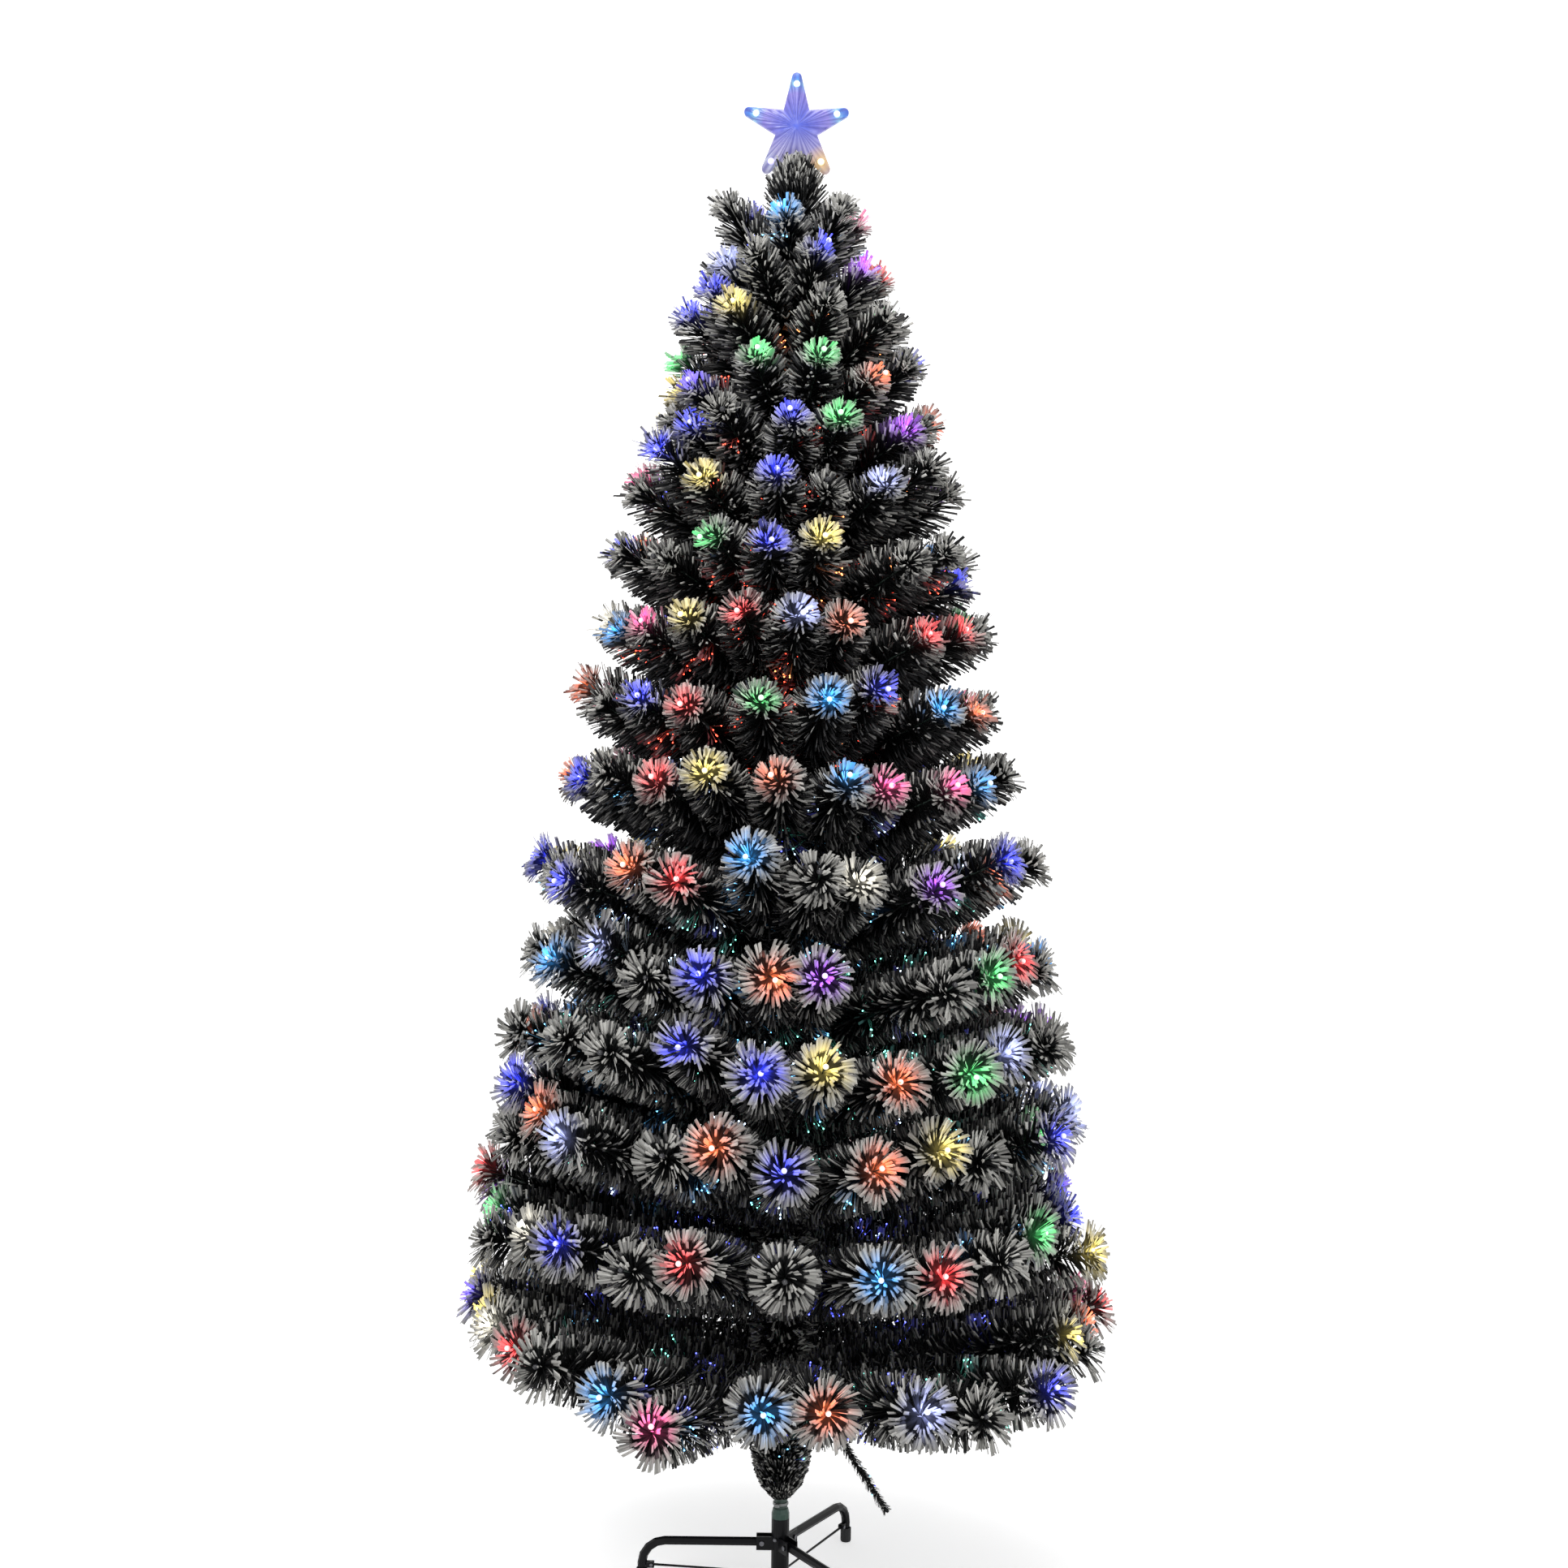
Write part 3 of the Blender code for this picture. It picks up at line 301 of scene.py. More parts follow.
def strips(base, direction, length, side, bend, width, steps=1):
    """Closed thin strips with three sides, which bend sideways and end blunt.

    Returns vertices, quads, triangles and each vertex's share of the length.
    """
    count = len(base)
    normal = unit(np.cross(direction, side))
    rings = []
    along = []
    for step in range(steps + 1):
        share = step / steps
        centre = base + direction * (length * share)[:, None] + bend * share**2
        half = (width * (ROOT_HALF_SHARE + END_HALF_GAIN * share))[:, None]
        rings.append(centre - side * half)
        rings.append(centre + side * half)
        rings.append(centre + normal * NEEDLE_THICKNESS)
        along += [share] * 3
    vertices = np.stack(rings, 1)
    quads = []
    for a in range(0, 3 * steps, 3):
        for i, j in ((0, 1), (1, 2), (2, 0)):
            quads.append((a + i, a + j, a + 3 + j, a + 3 + i))
    top = 3 * steps
    triangles = [(2, 1, 0), (top, top + 1, top + 2)]
    offset = (np.arange(count) * vertices.shape[1])[:, None, None]
    quads = np.array(quads)[None] + offset
    triangles = np.array(triangles)[None] + offset
    along = np.tile(along, count)
    return vertices.reshape(-1, 3), quads.reshape(-1, 4), triangles.reshape(-1, 3), along


def round_faces(rings, sides, first, poles, flip):
    """The faces that join rings of vertices, from number first on, and close them at two poles."""
    quads, triangles = [], []
    last = first + (rings - 1) * sides
    for i in range(sides):
        j = (i + 1) % sides
        if flip:
            i, j = j, i
        triangles.append((poles[0], first + j, first + i))
        triangles.append((poles[1], last + i, last + j))
        for a in range(first, last, sides):
            quads.append((a + i, a + j, a + sides + j, a + sides + i))
    return np.array(quads), np.array(triangles)


def tubes(paths, radius, us, v_low=0.0, v_high=1.0, sides=5):
    """Closed tubes along point lists. us holds each tube's texture u; v runs along it."""
    groups = []
    for points, u in zip(paths, us):
        points = np.asarray(points, float)
        ring = rings_round(unit(np.gradient(points, axis=0)), sides)
        steps = len(points)
        vertices = (points[:, None] + ring * radius).reshape(-1, 3)
        vertices = np.concatenate([vertices, points[:1], points[-1:]])
        faces = round_faces(steps, sides, 0, (steps * sides, steps * sides + 1), True)
        shares = np.concatenate([np.repeat(np.arange(steps) / (steps - 1), sides), [0, 1]])
        groups.append((vertices, *faces, run_texture(u, v_low, v_high, shares)))
    return joined(groups)


def beads(centres, ways, radius, us, v_low, v_high, rings, sides, stretch=1.0):
    """Small round lamps. v runs from the pole that points along its way to the back one."""
    axis = unit(np.asarray(ways, float))
    polar = math.pi * np.arange(1, rings) / rings
    faces = round_faces(rings - 1, sides, 1, (0, 1 + (rings - 1) * sides), False)
    shares = np.concatenate([[0.0], np.repeat(polar / math.pi, sides), [1.0]])
    groups = []
    for centre, u, along, around in zip(centres, us, axis, rings_round(axis, sides)):
        shell = stretch * np.cos(polar)[:, None, None] * along + np.sin(polar)[:, None, None] * around
        pole = stretch * along
        points = np.concatenate([[pole], shell.reshape(-1, 3), [-pole]])
        groups.append((centre + radius * points, *faces, run_texture(u, v_low, v_high, shares)))
    return joined(groups)


def lamp_u(letter, glow=0.5):
    """The texture u of a lamp's colour, which also carries how brightly it lights."""
    return (LETTERS.index(letter) + GLOW_START + GLOW_SPAN * glow) / len(LETTERS)


def fiber_u(letter):
    return (FIBER_LETTERS.index(letter) + 0.5) / len(FIBER_LETTERS)


# Where the branches go


def camera_matrix():
    pitch = Matrix.Rotation(math.radians(90 - CAMERA_PITCH_DEG), 4, "X")
    roll = Matrix.Rotation(math.radians(CAMERA_ROLL_DEG), 4, "Z")
    return Matrix.Translation(CAMERA_PLACE) @ pitch @ roll


def photo_tips():
    """The photographed tips as (pixel across, pixel down, letter)."""
    rows = [item.split() for item in PHOTO_TIPS.split(",")]
    return [(float(across), float(down), letter) for across, down, letter in rows]


def straight_tips():
    """Each tier's branches as [root, tip, reach], evenly spread."""
    tiers = []
    rows = zip(
        TIP_HEIGHT_SHARES, TIP_REACH_SHARES, TIER_TILTS_DEG, TIER_TIP_COUNTS, TIER_TURN_SHARES
    )
    for height_share, reach_share, tilt_deg, count, turn in rows:
        slope = math.tan(math.radians(tilt_deg))
        reach = CROWN_REACH * reach_share
        height = TREE_HEIGHT * height_share
        start = ROOT_SHARE * TRUNK_RADIUS
        branches = []
        for place in range(count):
            out = level_way(math.tau * (place + turn) / count)
            root = out * start + [0, 0, height - (reach - start) * slope]
            tip = out * reach + [0, 0, height]
            branches.append([root, tip, reach])
        tiers.append(branches)
    return tiers


def place_branches():
    """Branches as (root, tip, lamp, letter), each front lamp at one of the photograph."""
    view = np.array(camera_matrix())
    focal = CAMERA_LENS / SENSOR_WIDTH * PHOTO_SIZE
    right, up = view[:3, 0], view[:3, 1]
    seen = photo_tips()
    tiers = straight_tips()
    pairs = []
    for row, branches in enumerate(tiers):
        for column, (root, tip, reach) in enumerate(branches):
            away = tip + unit(tip - root) * LAMP_REACH - view[:3, 3]
            depth = -away @ view[:3, 2]
            across = PHOTO_SIZE / 2 + focal * (away @ right) / depth
            down = PHOTO_SIZE / 2 - focal * (away @ up) / depth
            if tip[1] > SEEN_FROM_FRONT * reach:
                continue
            for number, (x, y, _letter) in enumerate(seen):
                gap = math.hypot(x - across, y - down)
                gap += BACK_PENALTY * max(0.0, tip[1] / reach)
                if gap < MATCH_PIXELS:
                    shift = (right * (x - across) - up * (y - down)) * depth / focal
                    pairs.append((gap, row, column, number, shift))
    pairs.sort(key=lambda pair: pair[0])
    taken, bends = set(), {}
    for _gap, row, column, number, shift in pairs:
        if number in taken or (row, column) in bends:
            continue
        taken.add(number)
        bends[row, column] = (shift, seen[number][2])
    placed = []
    for row, branches in enumerate(tiers):
        placed.append([])
        for column, (root, tip, reach) in enumerate(branches):
            hidden = UNSEEN_LAMPS[random.integers(len(UNSEEN_LAMPS))] if tip[1] > 0 else "-"
            unseen = (random.normal(0, UNSEEN_BEND, 3), hidden)
            shift, letter = bends.get((row, column), unseen)
            size = np.linalg.norm(shift)
            tip = tip + shift * min(1.0, MOST_BEND / max(size, MOST_BEND / 2))
            far = math.hypot(tip[0], tip[1])
            tip[:2] *= min(1.0, (reach + MOST_EXTRA_REACH) / far)
            lamp = tip + unit(tip - root) * LAMP_REACH
            placed[-1].append((root, tip + random.normal(0, LAMP_ASKEW, 3), lamp, letter))
    return placed


def needle_texture(classes, glow, along, high=1.0, least=0, painted_shade=0):
    """Texture places of needles: u holds the lamp's colour and glow, v a shade and the length."""
    count = len(classes)
    corners = len(along) // count
    u = (np.repeat(classes, corners) + GLOW_START + GLOW_SPAN * glow) / len(LETTERS)
    # A needle's shade varies at random and is lowered by its painted shade.
    shade = np.round(random.integers(least, NEEDLE_SHADES, size=count) - painted_shade)
    shade = np.repeat(np.maximum(shade, 0), corners)
    v = (shade + LENGTH_START + LENGTH_SPAN * high * along) / NEEDLE_SHADES
    return np.stack([u, v], 1)


class Style(NamedTuple):
    """How one tier's needles stand. shaded, 0 to 1, tells how much painted shade those that point
    down get.
    """

    length: float
    lean_deg: float
    extra_lean_deg: float = 0.0
    shaded: float = 0.0
    width: float = NEEDLE_WIDTH
    frost: float = 1.0


def lamp_glow(vertices, lamp, letter, count, shaded):
    """How strongly a tip's lamp lights each vertex of its needles, most just above it."""
    each = np.repeat(random.uniform(0.6, 1.0, count), len(vertices) // count)
    away = vertices - lamp
    lift = LIFT_LEVEL + LIFT_GAIN * np.clip(away[:, 2] / LIFT_HEIGHT, -1, 1)
    lift -= SHADED_GLOW_LOSS * shaded * np.clip(-away[:, 2] / SHADED_LOSS_DEPTH, 0, 1)
    gap = np.linalg.norm(away, axis=1)
    return each * lift * np.exp(-((gap / GLOW_REACH) ** 2)) * (letter != "-")


def lower_painted_shade(direction, shaded):
    """Painted shade: how many shades darker the needles are that point down."""
    return SHADED_DIMMING * shaded * np.clip(-2 * direction[:, 2], 0, 1)


def ways_round(axis, count):
    """Directions out from an axis and round it, one pair for each of many needles."""
    spin = np.arange(count) * GOLDEN_TURN + random.uniform(-0.5, 0.5, count)
    return turned(*frame_of(np.tile(axis, (count, 1))), spin)


def flat_way(direction, around, roll):
    """The way across each needle's flat side, turned about the needle by roll."""
    square = unit(np.cross(direction, around))
    level = unit(np.cross(square, direction))
    return turned(level, square, roll)[0]


def haze_round(bunches, places, classes, glow):
    """Paints the glow of the bright end of a bunch of fibers onto the needles near it, where no lamp
    lights them.
    """
    corners = len(glow) // len(classes)
    dark = glow.reshape(-1, corners).max(1) < HAZE_GLOW / 2
    best = np.zeros(len(classes))
    for _share, _angle, letter, middle in bunches:
        gap = np.linalg.norm(places - middle, axis=1)
        level = HAZE_GLOW * np.exp(-((gap / HAZE_REACH) ** 2))
        nearer = dark & (level > np.maximum(best, HAZE_GLOW / 8))
        classes[nearer] = LETTERS.index(HAZE_LETTERS[letter])
        best[nearer] = level[nearer]
    return classes, np.where(np.repeat(best > 0, corners), np.repeat(best, corners), glow)


def brush_body(root, tip, lamp, letter, bunches, style):
    """The needles along one bottle brush, which lean forward near its tip."""
    span = tip - root
    axis = unit(span)
    reach = float(np.linalg.norm(span))
    outer = min(OUTER_REACH, OUTER_MOST_SHARE * reach)
    inner_count = int((reach - outer) * NEEDLES_PER_METRE)
    outer_count = int(outer * OUTER_NEEDLES_PER_METRE)
    count = inner_count + outer_count
    tip_part = outer * random.uniform(0, 1, outer_count) ** TIP_CROWDING
    inner_part = random.uniform(outer, INNER_END_SHARE * reach, inner_count)
    ahead = np.concatenate([tip_part, inner_part])
    near = np.exp(-((ahead / TIP_ZONE) ** 2))
    radial, around = ways_round(axis, count)
    lean = np.radians(style.lean_deg + TIP_LEAN_DEG * near + random.normal(0, LEAN_SPREAD_DEG, count))
    direction = turned(radial, axis, lean)[0]
    size = style.length * (1 - TIP_SHORTER_SHARE * near) * (1 + random.normal(0, 0.02, count))
    size *= 1 + SHADED_BODY_GAIN * style.shaded
    bend = around * (size * random.normal(*BRUSH_BEND_SHARES, count))[:, None]
    roll = random.normal(0, BRUSH_ROLL_SPREAD, count) + math.pi / 2 * (1 - near)
    side = flat_way(direction, around, roll)
    base = tip - axis * ahead[:, None] + radial * STEM_RADIUS * 0.5
    width = style.width * random.uniform(*NEEDLE_WIDTH_SHARES, count) * (1 + TIP_WIDER_SHARE * near)
    *shape, along = strips(base, direction, size, side, bend, width)
    glow = lamp_glow(shape[0], lamp, letter, count, style.shaded)
    classes = np.full(count, LETTERS.index(letter))
    ends = base + direction * (0.8 * size)[:, None]
    classes, glow = haze_round(bunches, ends, classes, glow)
    # Painted shade: darker deeper in the brush, on needles that point down, and a little on all in
    # the shaded tiers.
    painted_shade = INNER_PAINTED_SHADE * (1 - np.exp(-((ahead / INNER_DIM_REACH) ** 2)))
    painted_shade += lower_painted_shade(direction, style.shaded) + SHADED_BODY_DIMMING * style.shaded
    return *shape, needle_texture(classes, glow, along, style.frost, 0, painted_shade)


def rosette(tip, way, lamp, letter, style):
    """The curved needles that fan out at a brush's tip: a ring round its lamp and a dome."""
    groups = []
    for count, least, most, long, wide, swirl, follow in ROSETTE_PARTS:
        radial, around = ways_round(way, count)
        lean = np.radians(random.uniform(least, most, count) + follow * style.extra_lean_deg)
        direction = turned(radial, way, lean)[0]
        long *= 1 - SHADED_ROSETTE_LOSS * style.shaded
        size = long * style.length * (1 + random.normal(0, 0.03, count))
        bend = around * (size * random.normal(swirl, 0.06, count))[:, None]
        bend += radial * (size * ROSETTE_OUTWARD_BEND)[:, None]
        side = flat_way(direction, around, random.normal(0, ROSETTE_ROLL_SPREAD, count))
        base = tip - way * random.uniform(0, ROSETTE_DEPTH, count)[:, None]
        width = style.width * wide * random.uniform(*ROSETTE_WIDTH_SHARES, count)
        *shape, along = strips(base, direction, size, side, bend, width, ROSETTE_STEPS)
        glow = lamp_glow(shape[0], lamp, letter, count, style.shaded)
        classes = np.full(count, LETTERS.index(letter))
        # Painted shade on the rosette's needles that point down.
        painted_shade = lower_painted_shade(direction, style.shaded)
        texture = needle_texture(classes, glow, along, 1.0, ROSETTE_LEAST_SHADE, painted_shade)
        groups.append((*shape, texture))
    return joined(groups)


# Materials


class Nodes:
    """A small helper that adds nodes to the tree of a world or a material."""

    def __init__(self, owner):
        owner.use_nodes = True
        self.tree = owner.node_tree

    def add(self, kind, **settings):
        node = self.tree.nodes.new(kind)
        for key, value in settings.items():
            setattr(node, key, value)
        return node

    def feed(self, socket, value):
        """Joins a node's output to a socket, or sets the socket to a value."""
        if isinstance(value, bpy.types.NodeSocket):
            self.tree.links.new(value, socket)
        else:
            socket.default_value = value

    def fill(self, node, **values):
        """Feeds a node's inputs by their names, where _ stands for a space."""
        for key, value in values.items():
            self.feed(node.inputs[key.replace("_", " ")], value)

    def maths(self, operation, *values):
        node = self.add("ShaderNodeMath", operation=operation)
        for socket, value in zip(node.inputs, values):
            self.feed(socket, value)
        return node.outputs[0]

    def seen(self):
        """1 for rays that show the backdrop, from the camera, a mirror or clear plastic."""
        rays = self.add("ShaderNodeLightPath").outputs
        seen = self.maths("MAXIMUM", rays["Is Camera Ray"], rays["Is Glossy Ray"])
        return self.maths("MAXIMUM", seen, rays["Is Transmission Ray"])


class Shader(Nodes):
    """The nodes of one material, round its one surface node."""

    def __init__(self, name):
        self.material = bpy.data.materials.new(name)
        super().__init__(self.material)
        self.surface = self.tree.nodes["Principled BSDF"]

    def put(self, **values):
        self.fill(self.surface, **values)

    def ramp(self, factor, stops, interpolation="LINEAR"):
        """A colour ramp; a stop holds its place and a colour or a grey level."""
        node = self.add("ShaderNodeValToRGB")
        node.color_ramp.interpolation = interpolation
        marks = node.color_ramp.elements
        while len(marks) < len(stops):
            marks.new(1.0)
        for mark, (place, colour) in zip(marks, sorted(stops)):
            mark.position = place
            mark.color = (*(colour if isinstance(colour, tuple) else (colour,) * 3), 1.0)
        self.feed(node.inputs[0], factor)
        return node.outputs[0]

    def mix(self, factor, first, second, blend="MIX"):
        node = self.add("ShaderNodeMix", data_type="RGBA", blend_type=blend)
        for number, value in ((0, factor), (6, first), (7, second)):
            self.feed(node.inputs[number], (*value, 1.0) if isinstance(value, tuple) else value)
        return node.outputs[2]

    def noise(self, scale, detail=2.0):
        node = self.add("ShaderNodeTexNoise")
        self.fill(node, Scale=scale, Detail=detail, Vector=self.object_place())
        return node.outputs["Fac"]

    def object_place(self):
        return self.add("ShaderNodeTexCoord").outputs["Object"]

    def bump(self, height, strength, distance):
        node = self.add("ShaderNodeBump")
        self.fill(node, Strength=strength, Distance=distance, Height=height)
        self.put(Normal=node.outputs[0])

    def uv(self):
        return self.split(self.add("ShaderNodeUVMap", uv_map="OFBake").outputs[0])[:2]

    def split(self, vector):
        node = self.add("ShaderNodeSeparateXYZ")
        self.feed(node.inputs[0], vector)
        return tuple(node.outputs)


def colour_classes(shader, u, colours):
    """The colour of the class that u lies in, and where it lies in that class, 0 to 1."""
    count = len(colours)
    stops = [(index / count, colour) for index, colour in enumerate(colours.values())]
    tint = shader.ramp(u, stops, "CONSTANT")
    inside = shader.maths("FRACT", shader.maths("MULTIPLY", u, float(count)))
    return tint, inside


# The grey of the frosted ends by shade, darkest first. A needle's shade varies at random and also
# carries painted shade.
FROST_STOPS = (
    (0.0, (0.010, 0.010, 0.011)), (0.3, (0.10, 0.098, 0.098)),
    (0.6, (0.36, 0.355, 0.335)), (1.0, (0.74, 0.73, 0.69)),
)


def needle_material():
    """Dark plastic strips with frosted grey ends, with painted light from the lamp they stand round.
    """
    made = Shader("frosted_needles_look")
    u, v = made.uv()
    tint, inside = colour_classes(made, u, LAMP_COLOURS)
    glow = made.maths("MULTIPLY", made.maths("SUBTRACT", inside, GLOW_START), 1 / GLOW_SPAN)
    glow = made.maths("MAXIMUM", glow, 0.0)
    rows = made.maths("MULTIPLY", v, float(NEEDLE_SHADES))
    along = made.maths("FRACT", rows)
    shade = made.maths("DIVIDE", made.maths("FLOOR", rows), NEEDLE_SHADES - 1.0)
    mottle = made.maths("SUBTRACT", made.noise(420.0), 0.5)
    place = made.maths("ADD", along, made.maths("MULTIPLY", mottle, 0.16))
    place = made.maths("ADD", place, made.maths("MULTIPLY", shade, 0.08))
    frost = made.ramp(place, [(0.70, 0.0), (0.77, 1.0)])
    grey = made.ramp(shade, FROST_STOPS)
    plain = made.mix(frost, (0.0022, 0.0028, 0.0032), grey)
    # Painted light: near a lit lamp the base colour takes on the lamp's colour.
    painted_lamp_tint = made.mix(1.0, plain, tint, "MULTIPLY")
    share = made.maths("MINIMUM", made.maths("MULTIPLY", glow, 1.5), 0.7)
    colour = made.mix(share, plain, painted_lamp_tint)
    made.put(Base_Color=colour, Roughness=0.62, Specular_IOR_Level=0.22)
    # Painted light: the needles glow in their lamp's colour near it, the frosted ends most.
    shaft = made.ramp(glow, [(0.0, 0.04), (0.38, 0.08), (0.6, 0.40), (0.9, 0.85)])
    shine = made.mix(frost, shaft, (0.85, 0.85, 0.85))
    strength = made.maths("MULTIPLY", made.maths("MULTIPLY", glow, NEEDLE_GLOW), shine)
    pale = made.ramp(glow, [(0.0, 0.22), (0.35, 0.06), (0.6, 0.0), (1.0, 0.2)])
    made.put(Emission_Color=made.mix(pale, tint, (0.60, 0.60, 0.66)), Emission_Strength=strength)
    return made.material


def lamp_material():
    """Small clear lamps. The front glows almost white, the sides in the lamp's colour."""
    made = Shader("tip_lamp_look")
    u, v = made.uv()
    tint, _inside = colour_classes(made, u, LAMP_COLOURS)
    lit = made.maths("GREATER_THAN", u, 1 / len(LAMP_COLOURS))
    core = made.ramp(v, [(0.0, 0.62), (0.42, 0.5), (0.6, 0.0)])
    glow = made.mix(core, tint, (1.0, 0.97, 0.95))
    fade = made.ramp(v, [(0.0, 1.0), (0.6, 0.5), (0.9, 0.1)])
    strength = made.maths("MULTIPLY", made.maths("MULTIPLY", lit, LAMP_GLOW), fade)
    made.put(Emission_Color=glow, Emission_Strength=strength, Roughness=0.2)
    clear = made.mix(0.5, tint, (0.7, 0.7, 0.7))
    made.put(Base_Color=made.mix(lit, (0.03, 0.03, 0.035), clear))
    return made.material


def fiber_material():
    """Clear fibers that carry the colour wheel's light to their ends."""
    made = Shader("fiber_end_look")
    u, v = made.uv()
    tint, _inside = colour_classes(made, u, FIBER_COLOURS)
    made.put(Base_Color=made.mix(0.8, tint, (0.1, 0.1, 0.1)), Emission_Color=tint, Roughness=0.3)
    end = made.ramp(v, [(0.0, 0.0), (0.7, 0.03), (0.86, 1.0)])
    made.put(Emission_Strength=made.maths("MULTIPLY", end, FIBER_GLOW))
    return made.material


def painted(name, colour, roughness, metallic=0.0, depth=0.00004, coat=0.0, level=0.5):
    """Paint or plastic with fine grain, uneven gloss and a little dust."""
    made = Shader(name)
    grain = made.noise(900.0, 3.0)
    cloud = made.noise(38.0, 2.0)
    light = tuple(min(1.0, c * 1.35 + 0.004) for c in colour)
    spread = made.ramp(grain, [(0.3, roughness * 0.8), (0.7, min(1.0, roughness * 1.25))])
    made.put(Base_Color=made.mix(cloud, colour, light), Roughness=spread)
    made.put(Metallic=metallic, Coat_Weight=coat, Specular_IOR_Level=level)
    made.bump(grain, 0.25, depth)
    return made.material


STAR_LAMP_REACH = 0.058
STAR_LAMP_DEPTH = 0.0088
STAR_LAMP_RADIUS = 0.0048
STAR_WIRE_REACHES = (0.004, 0.03, 0.056)
STAR_WIRE_RADIUS = 0.0009
STAR_LAMP_LETTERS = "ccvyc"
STAR_COLOUR_STOPS = (
    (0.0, (0.05, 0.13, 0.95)), (0.24, (0.10, 0.14, 0.85)), (0.6, (0.33, 0.26, 0.86)),
    (0.72, (0.22, 0.42, 0.95)), (0.79, (0.30, 0.80, 1.0)), (0.88, (0.03, 0.30, 0.95)),
    (1.0, (0.02, 0.14, 0.85)),
)
STAR_PALE_BELOW = STAR_CENTRE.z - 0.004
STAR_PALE_REACH = 0.05
STAR_POINTS = len(STAR_LAMP_LETTERS)


def star_ray(index):
    """The angle of one of the star's points, counted from the top one."""
    return math.pi / 2 + math.tau * index / STAR_POINTS


def star_way(angle):
    """The direction at an angle in the star's plane."""
    return np.array([math.cos(angle), 0.0, math.sin(angle)])


# The star's yellow lamp, round which the shell carries a warm pool of painted light.
YELLOW_STAR_WAY = star_way(star_ray(STAR_LAMP_LETTERS.index("y")))
YELLOW_STAR_LAMP = STAR_CENTRE + STAR_LAMP_REACH * Vector(YELLOW_STAR_WAY)


def star_material():
    """Clear ribbed plastic, lit blue and violet from inside."""
    made = Shader("lit_star_look")
    u, v = made.uv()
    rays = made.ramp(u, STAR_COLOUR_STOPS)
    soft = made.ramp(v, [(0.0, (0.26, 0.25, 0.55)), (1.0, (1.0, 1.0, 1.0))])
    colour = made.mix(1.0, rays, soft, "MULTIPLY")
    mottle = made.noise(160.0, 3.0)
    pale = made.mix(made.maths("MULTIPLY", mottle, 0.4), colour, (0.45, 0.46, 0.95))
    place = made.object_place()
    low = made.maths("SUBTRACT", STAR_PALE_BELOW, made.split(place)[2])
    low = made.maths("MAXIMUM", made.maths("DIVIDE", low, STAR_PALE_REACH), 0.0)
    low = made.maths("MINIMUM", low, 0.8)
    pale = made.mix(low, pale, made.mix(v, (0.24, 0.22, 0.48), (0.92, 0.88, 1.0)))
    # Painted light: a warm pool on the shell round the yellow lamp.
    away = made.add("ShaderNodeVectorMath", operation="DISTANCE")
    made.feed(away.inputs[0], place)
    made.feed(away.inputs[1], YELLOW_STAR_LAMP)
    near = made.maths("MULTIPLY", away.outputs["Value"], 30.0)
    pale = made.mix(made.ramp(near, [(0.25, 0.8), (0.75, 0.0)]), pale, (1.0, 0.62, 0.16))
    # Painted light: the shell glows with the light of the lamps inside it.
    made.put(Emission_Color=pale, Emission_Strength=STAR_GLOW, Coat_Weight=0.15)
    made.put(Base_Color=made.mix(0.6, pale, (0.0, 0.0, 0.0)), Roughness=0.22, Coat_Roughness=0.2)
    made.bump(made.noise(300.0, 2.0), 0.3, 0.0002)
    return made.material


# The crown's pieces

NEEDLES = needle_material()
LAMPS = lamp_material()
FIBERS = fiber_material()
STEM = painted("wire_stem_look", (0.010, 0.022, 0.016), 0.5)


def place_bunches(root, tip, length, letters):
    """Bunches of fibers on a branch: share of its length, angle round it, letter and end."""
    span = tip - root
    first, second = frame_of(unit(span)[None])
    bunches = []
    for _ in range(int(np.linalg.norm(span) * BUNCHES_PER_METRE)):
        share = random.uniform(*BUNCH_PLACE_SHARES)
        angle = random.uniform(0, math.tau)
        way = math.cos(angle) * first[0] + math.sin(angle) * second[0]
        letter = letters[random.integers(len(letters))]
        middle = root + span * share + way * length * BUNCH_DEPTH_SHARE
        bunches.append((share, angle, letter, middle))
    return bunches


def make_fibers(root, tip, length, bunches):
    """Thin fibers that leave a branch's stem and end in bunches among its needles."""
    span = tip - root
    axis = unit(span)
    first, second = frame_of(axis[None])
    paths, ways, us = [], [], []
    for bunch_share, bunch_angle, letter, _middle in bunches:
        start = root + span * max(0.0, bunch_share - 0.10)
        for _ in range(FIBERS_PER_BUNCH):
            share = min(0.99, bunch_share + random.normal(0, 0.02))
            angle = bunch_angle + random.normal(0, 0.3)
            way = math.cos(angle) * first[0] + math.sin(angle) * second[0]
            end = root + span * share + way * length * random.uniform(*FIBER_LENGTH_SHARES)
            middle = (start + end) / 2 + axis * random.uniform(-0.004, 0.008)
            paths.append((start, middle, end))
            ways.append(way + axis * 0.3)
            us.append(fiber_u(letter))
    return paths, ways, us


def trunk_needles(low, high, length):
    """Needles that stand out from the trunk itself between two tiers."""
    count = int((high - low) * TRUNK_NEEDLES_PER_METRE)
    radial, around = turned(EAST, NORTH, random.uniform(0, math.tau, count))
    rise = np.radians(random.normal(10, 38, count))
    direction = np.cos(rise)[:, None] * radial
    direction[:, 2] += np.sin(rise)
    base = radial * TRUNK_RADIUS * 0.8
    base[:, 2] = random.uniform(low, high, count)
    size = length * random.uniform(0.85, 1.0, count)
    bend = around * (size * random.normal(0, 0.15, count))[:, None]
    side = flat_way(direction, around, random.uniform(0, math.pi, count))
    width = NEEDLE_WIDTH * random.uniform(*NEEDLE_WIDTH_SHARES, count)
    return dull_needles(1.0, base, direction, size, side, bend, width)


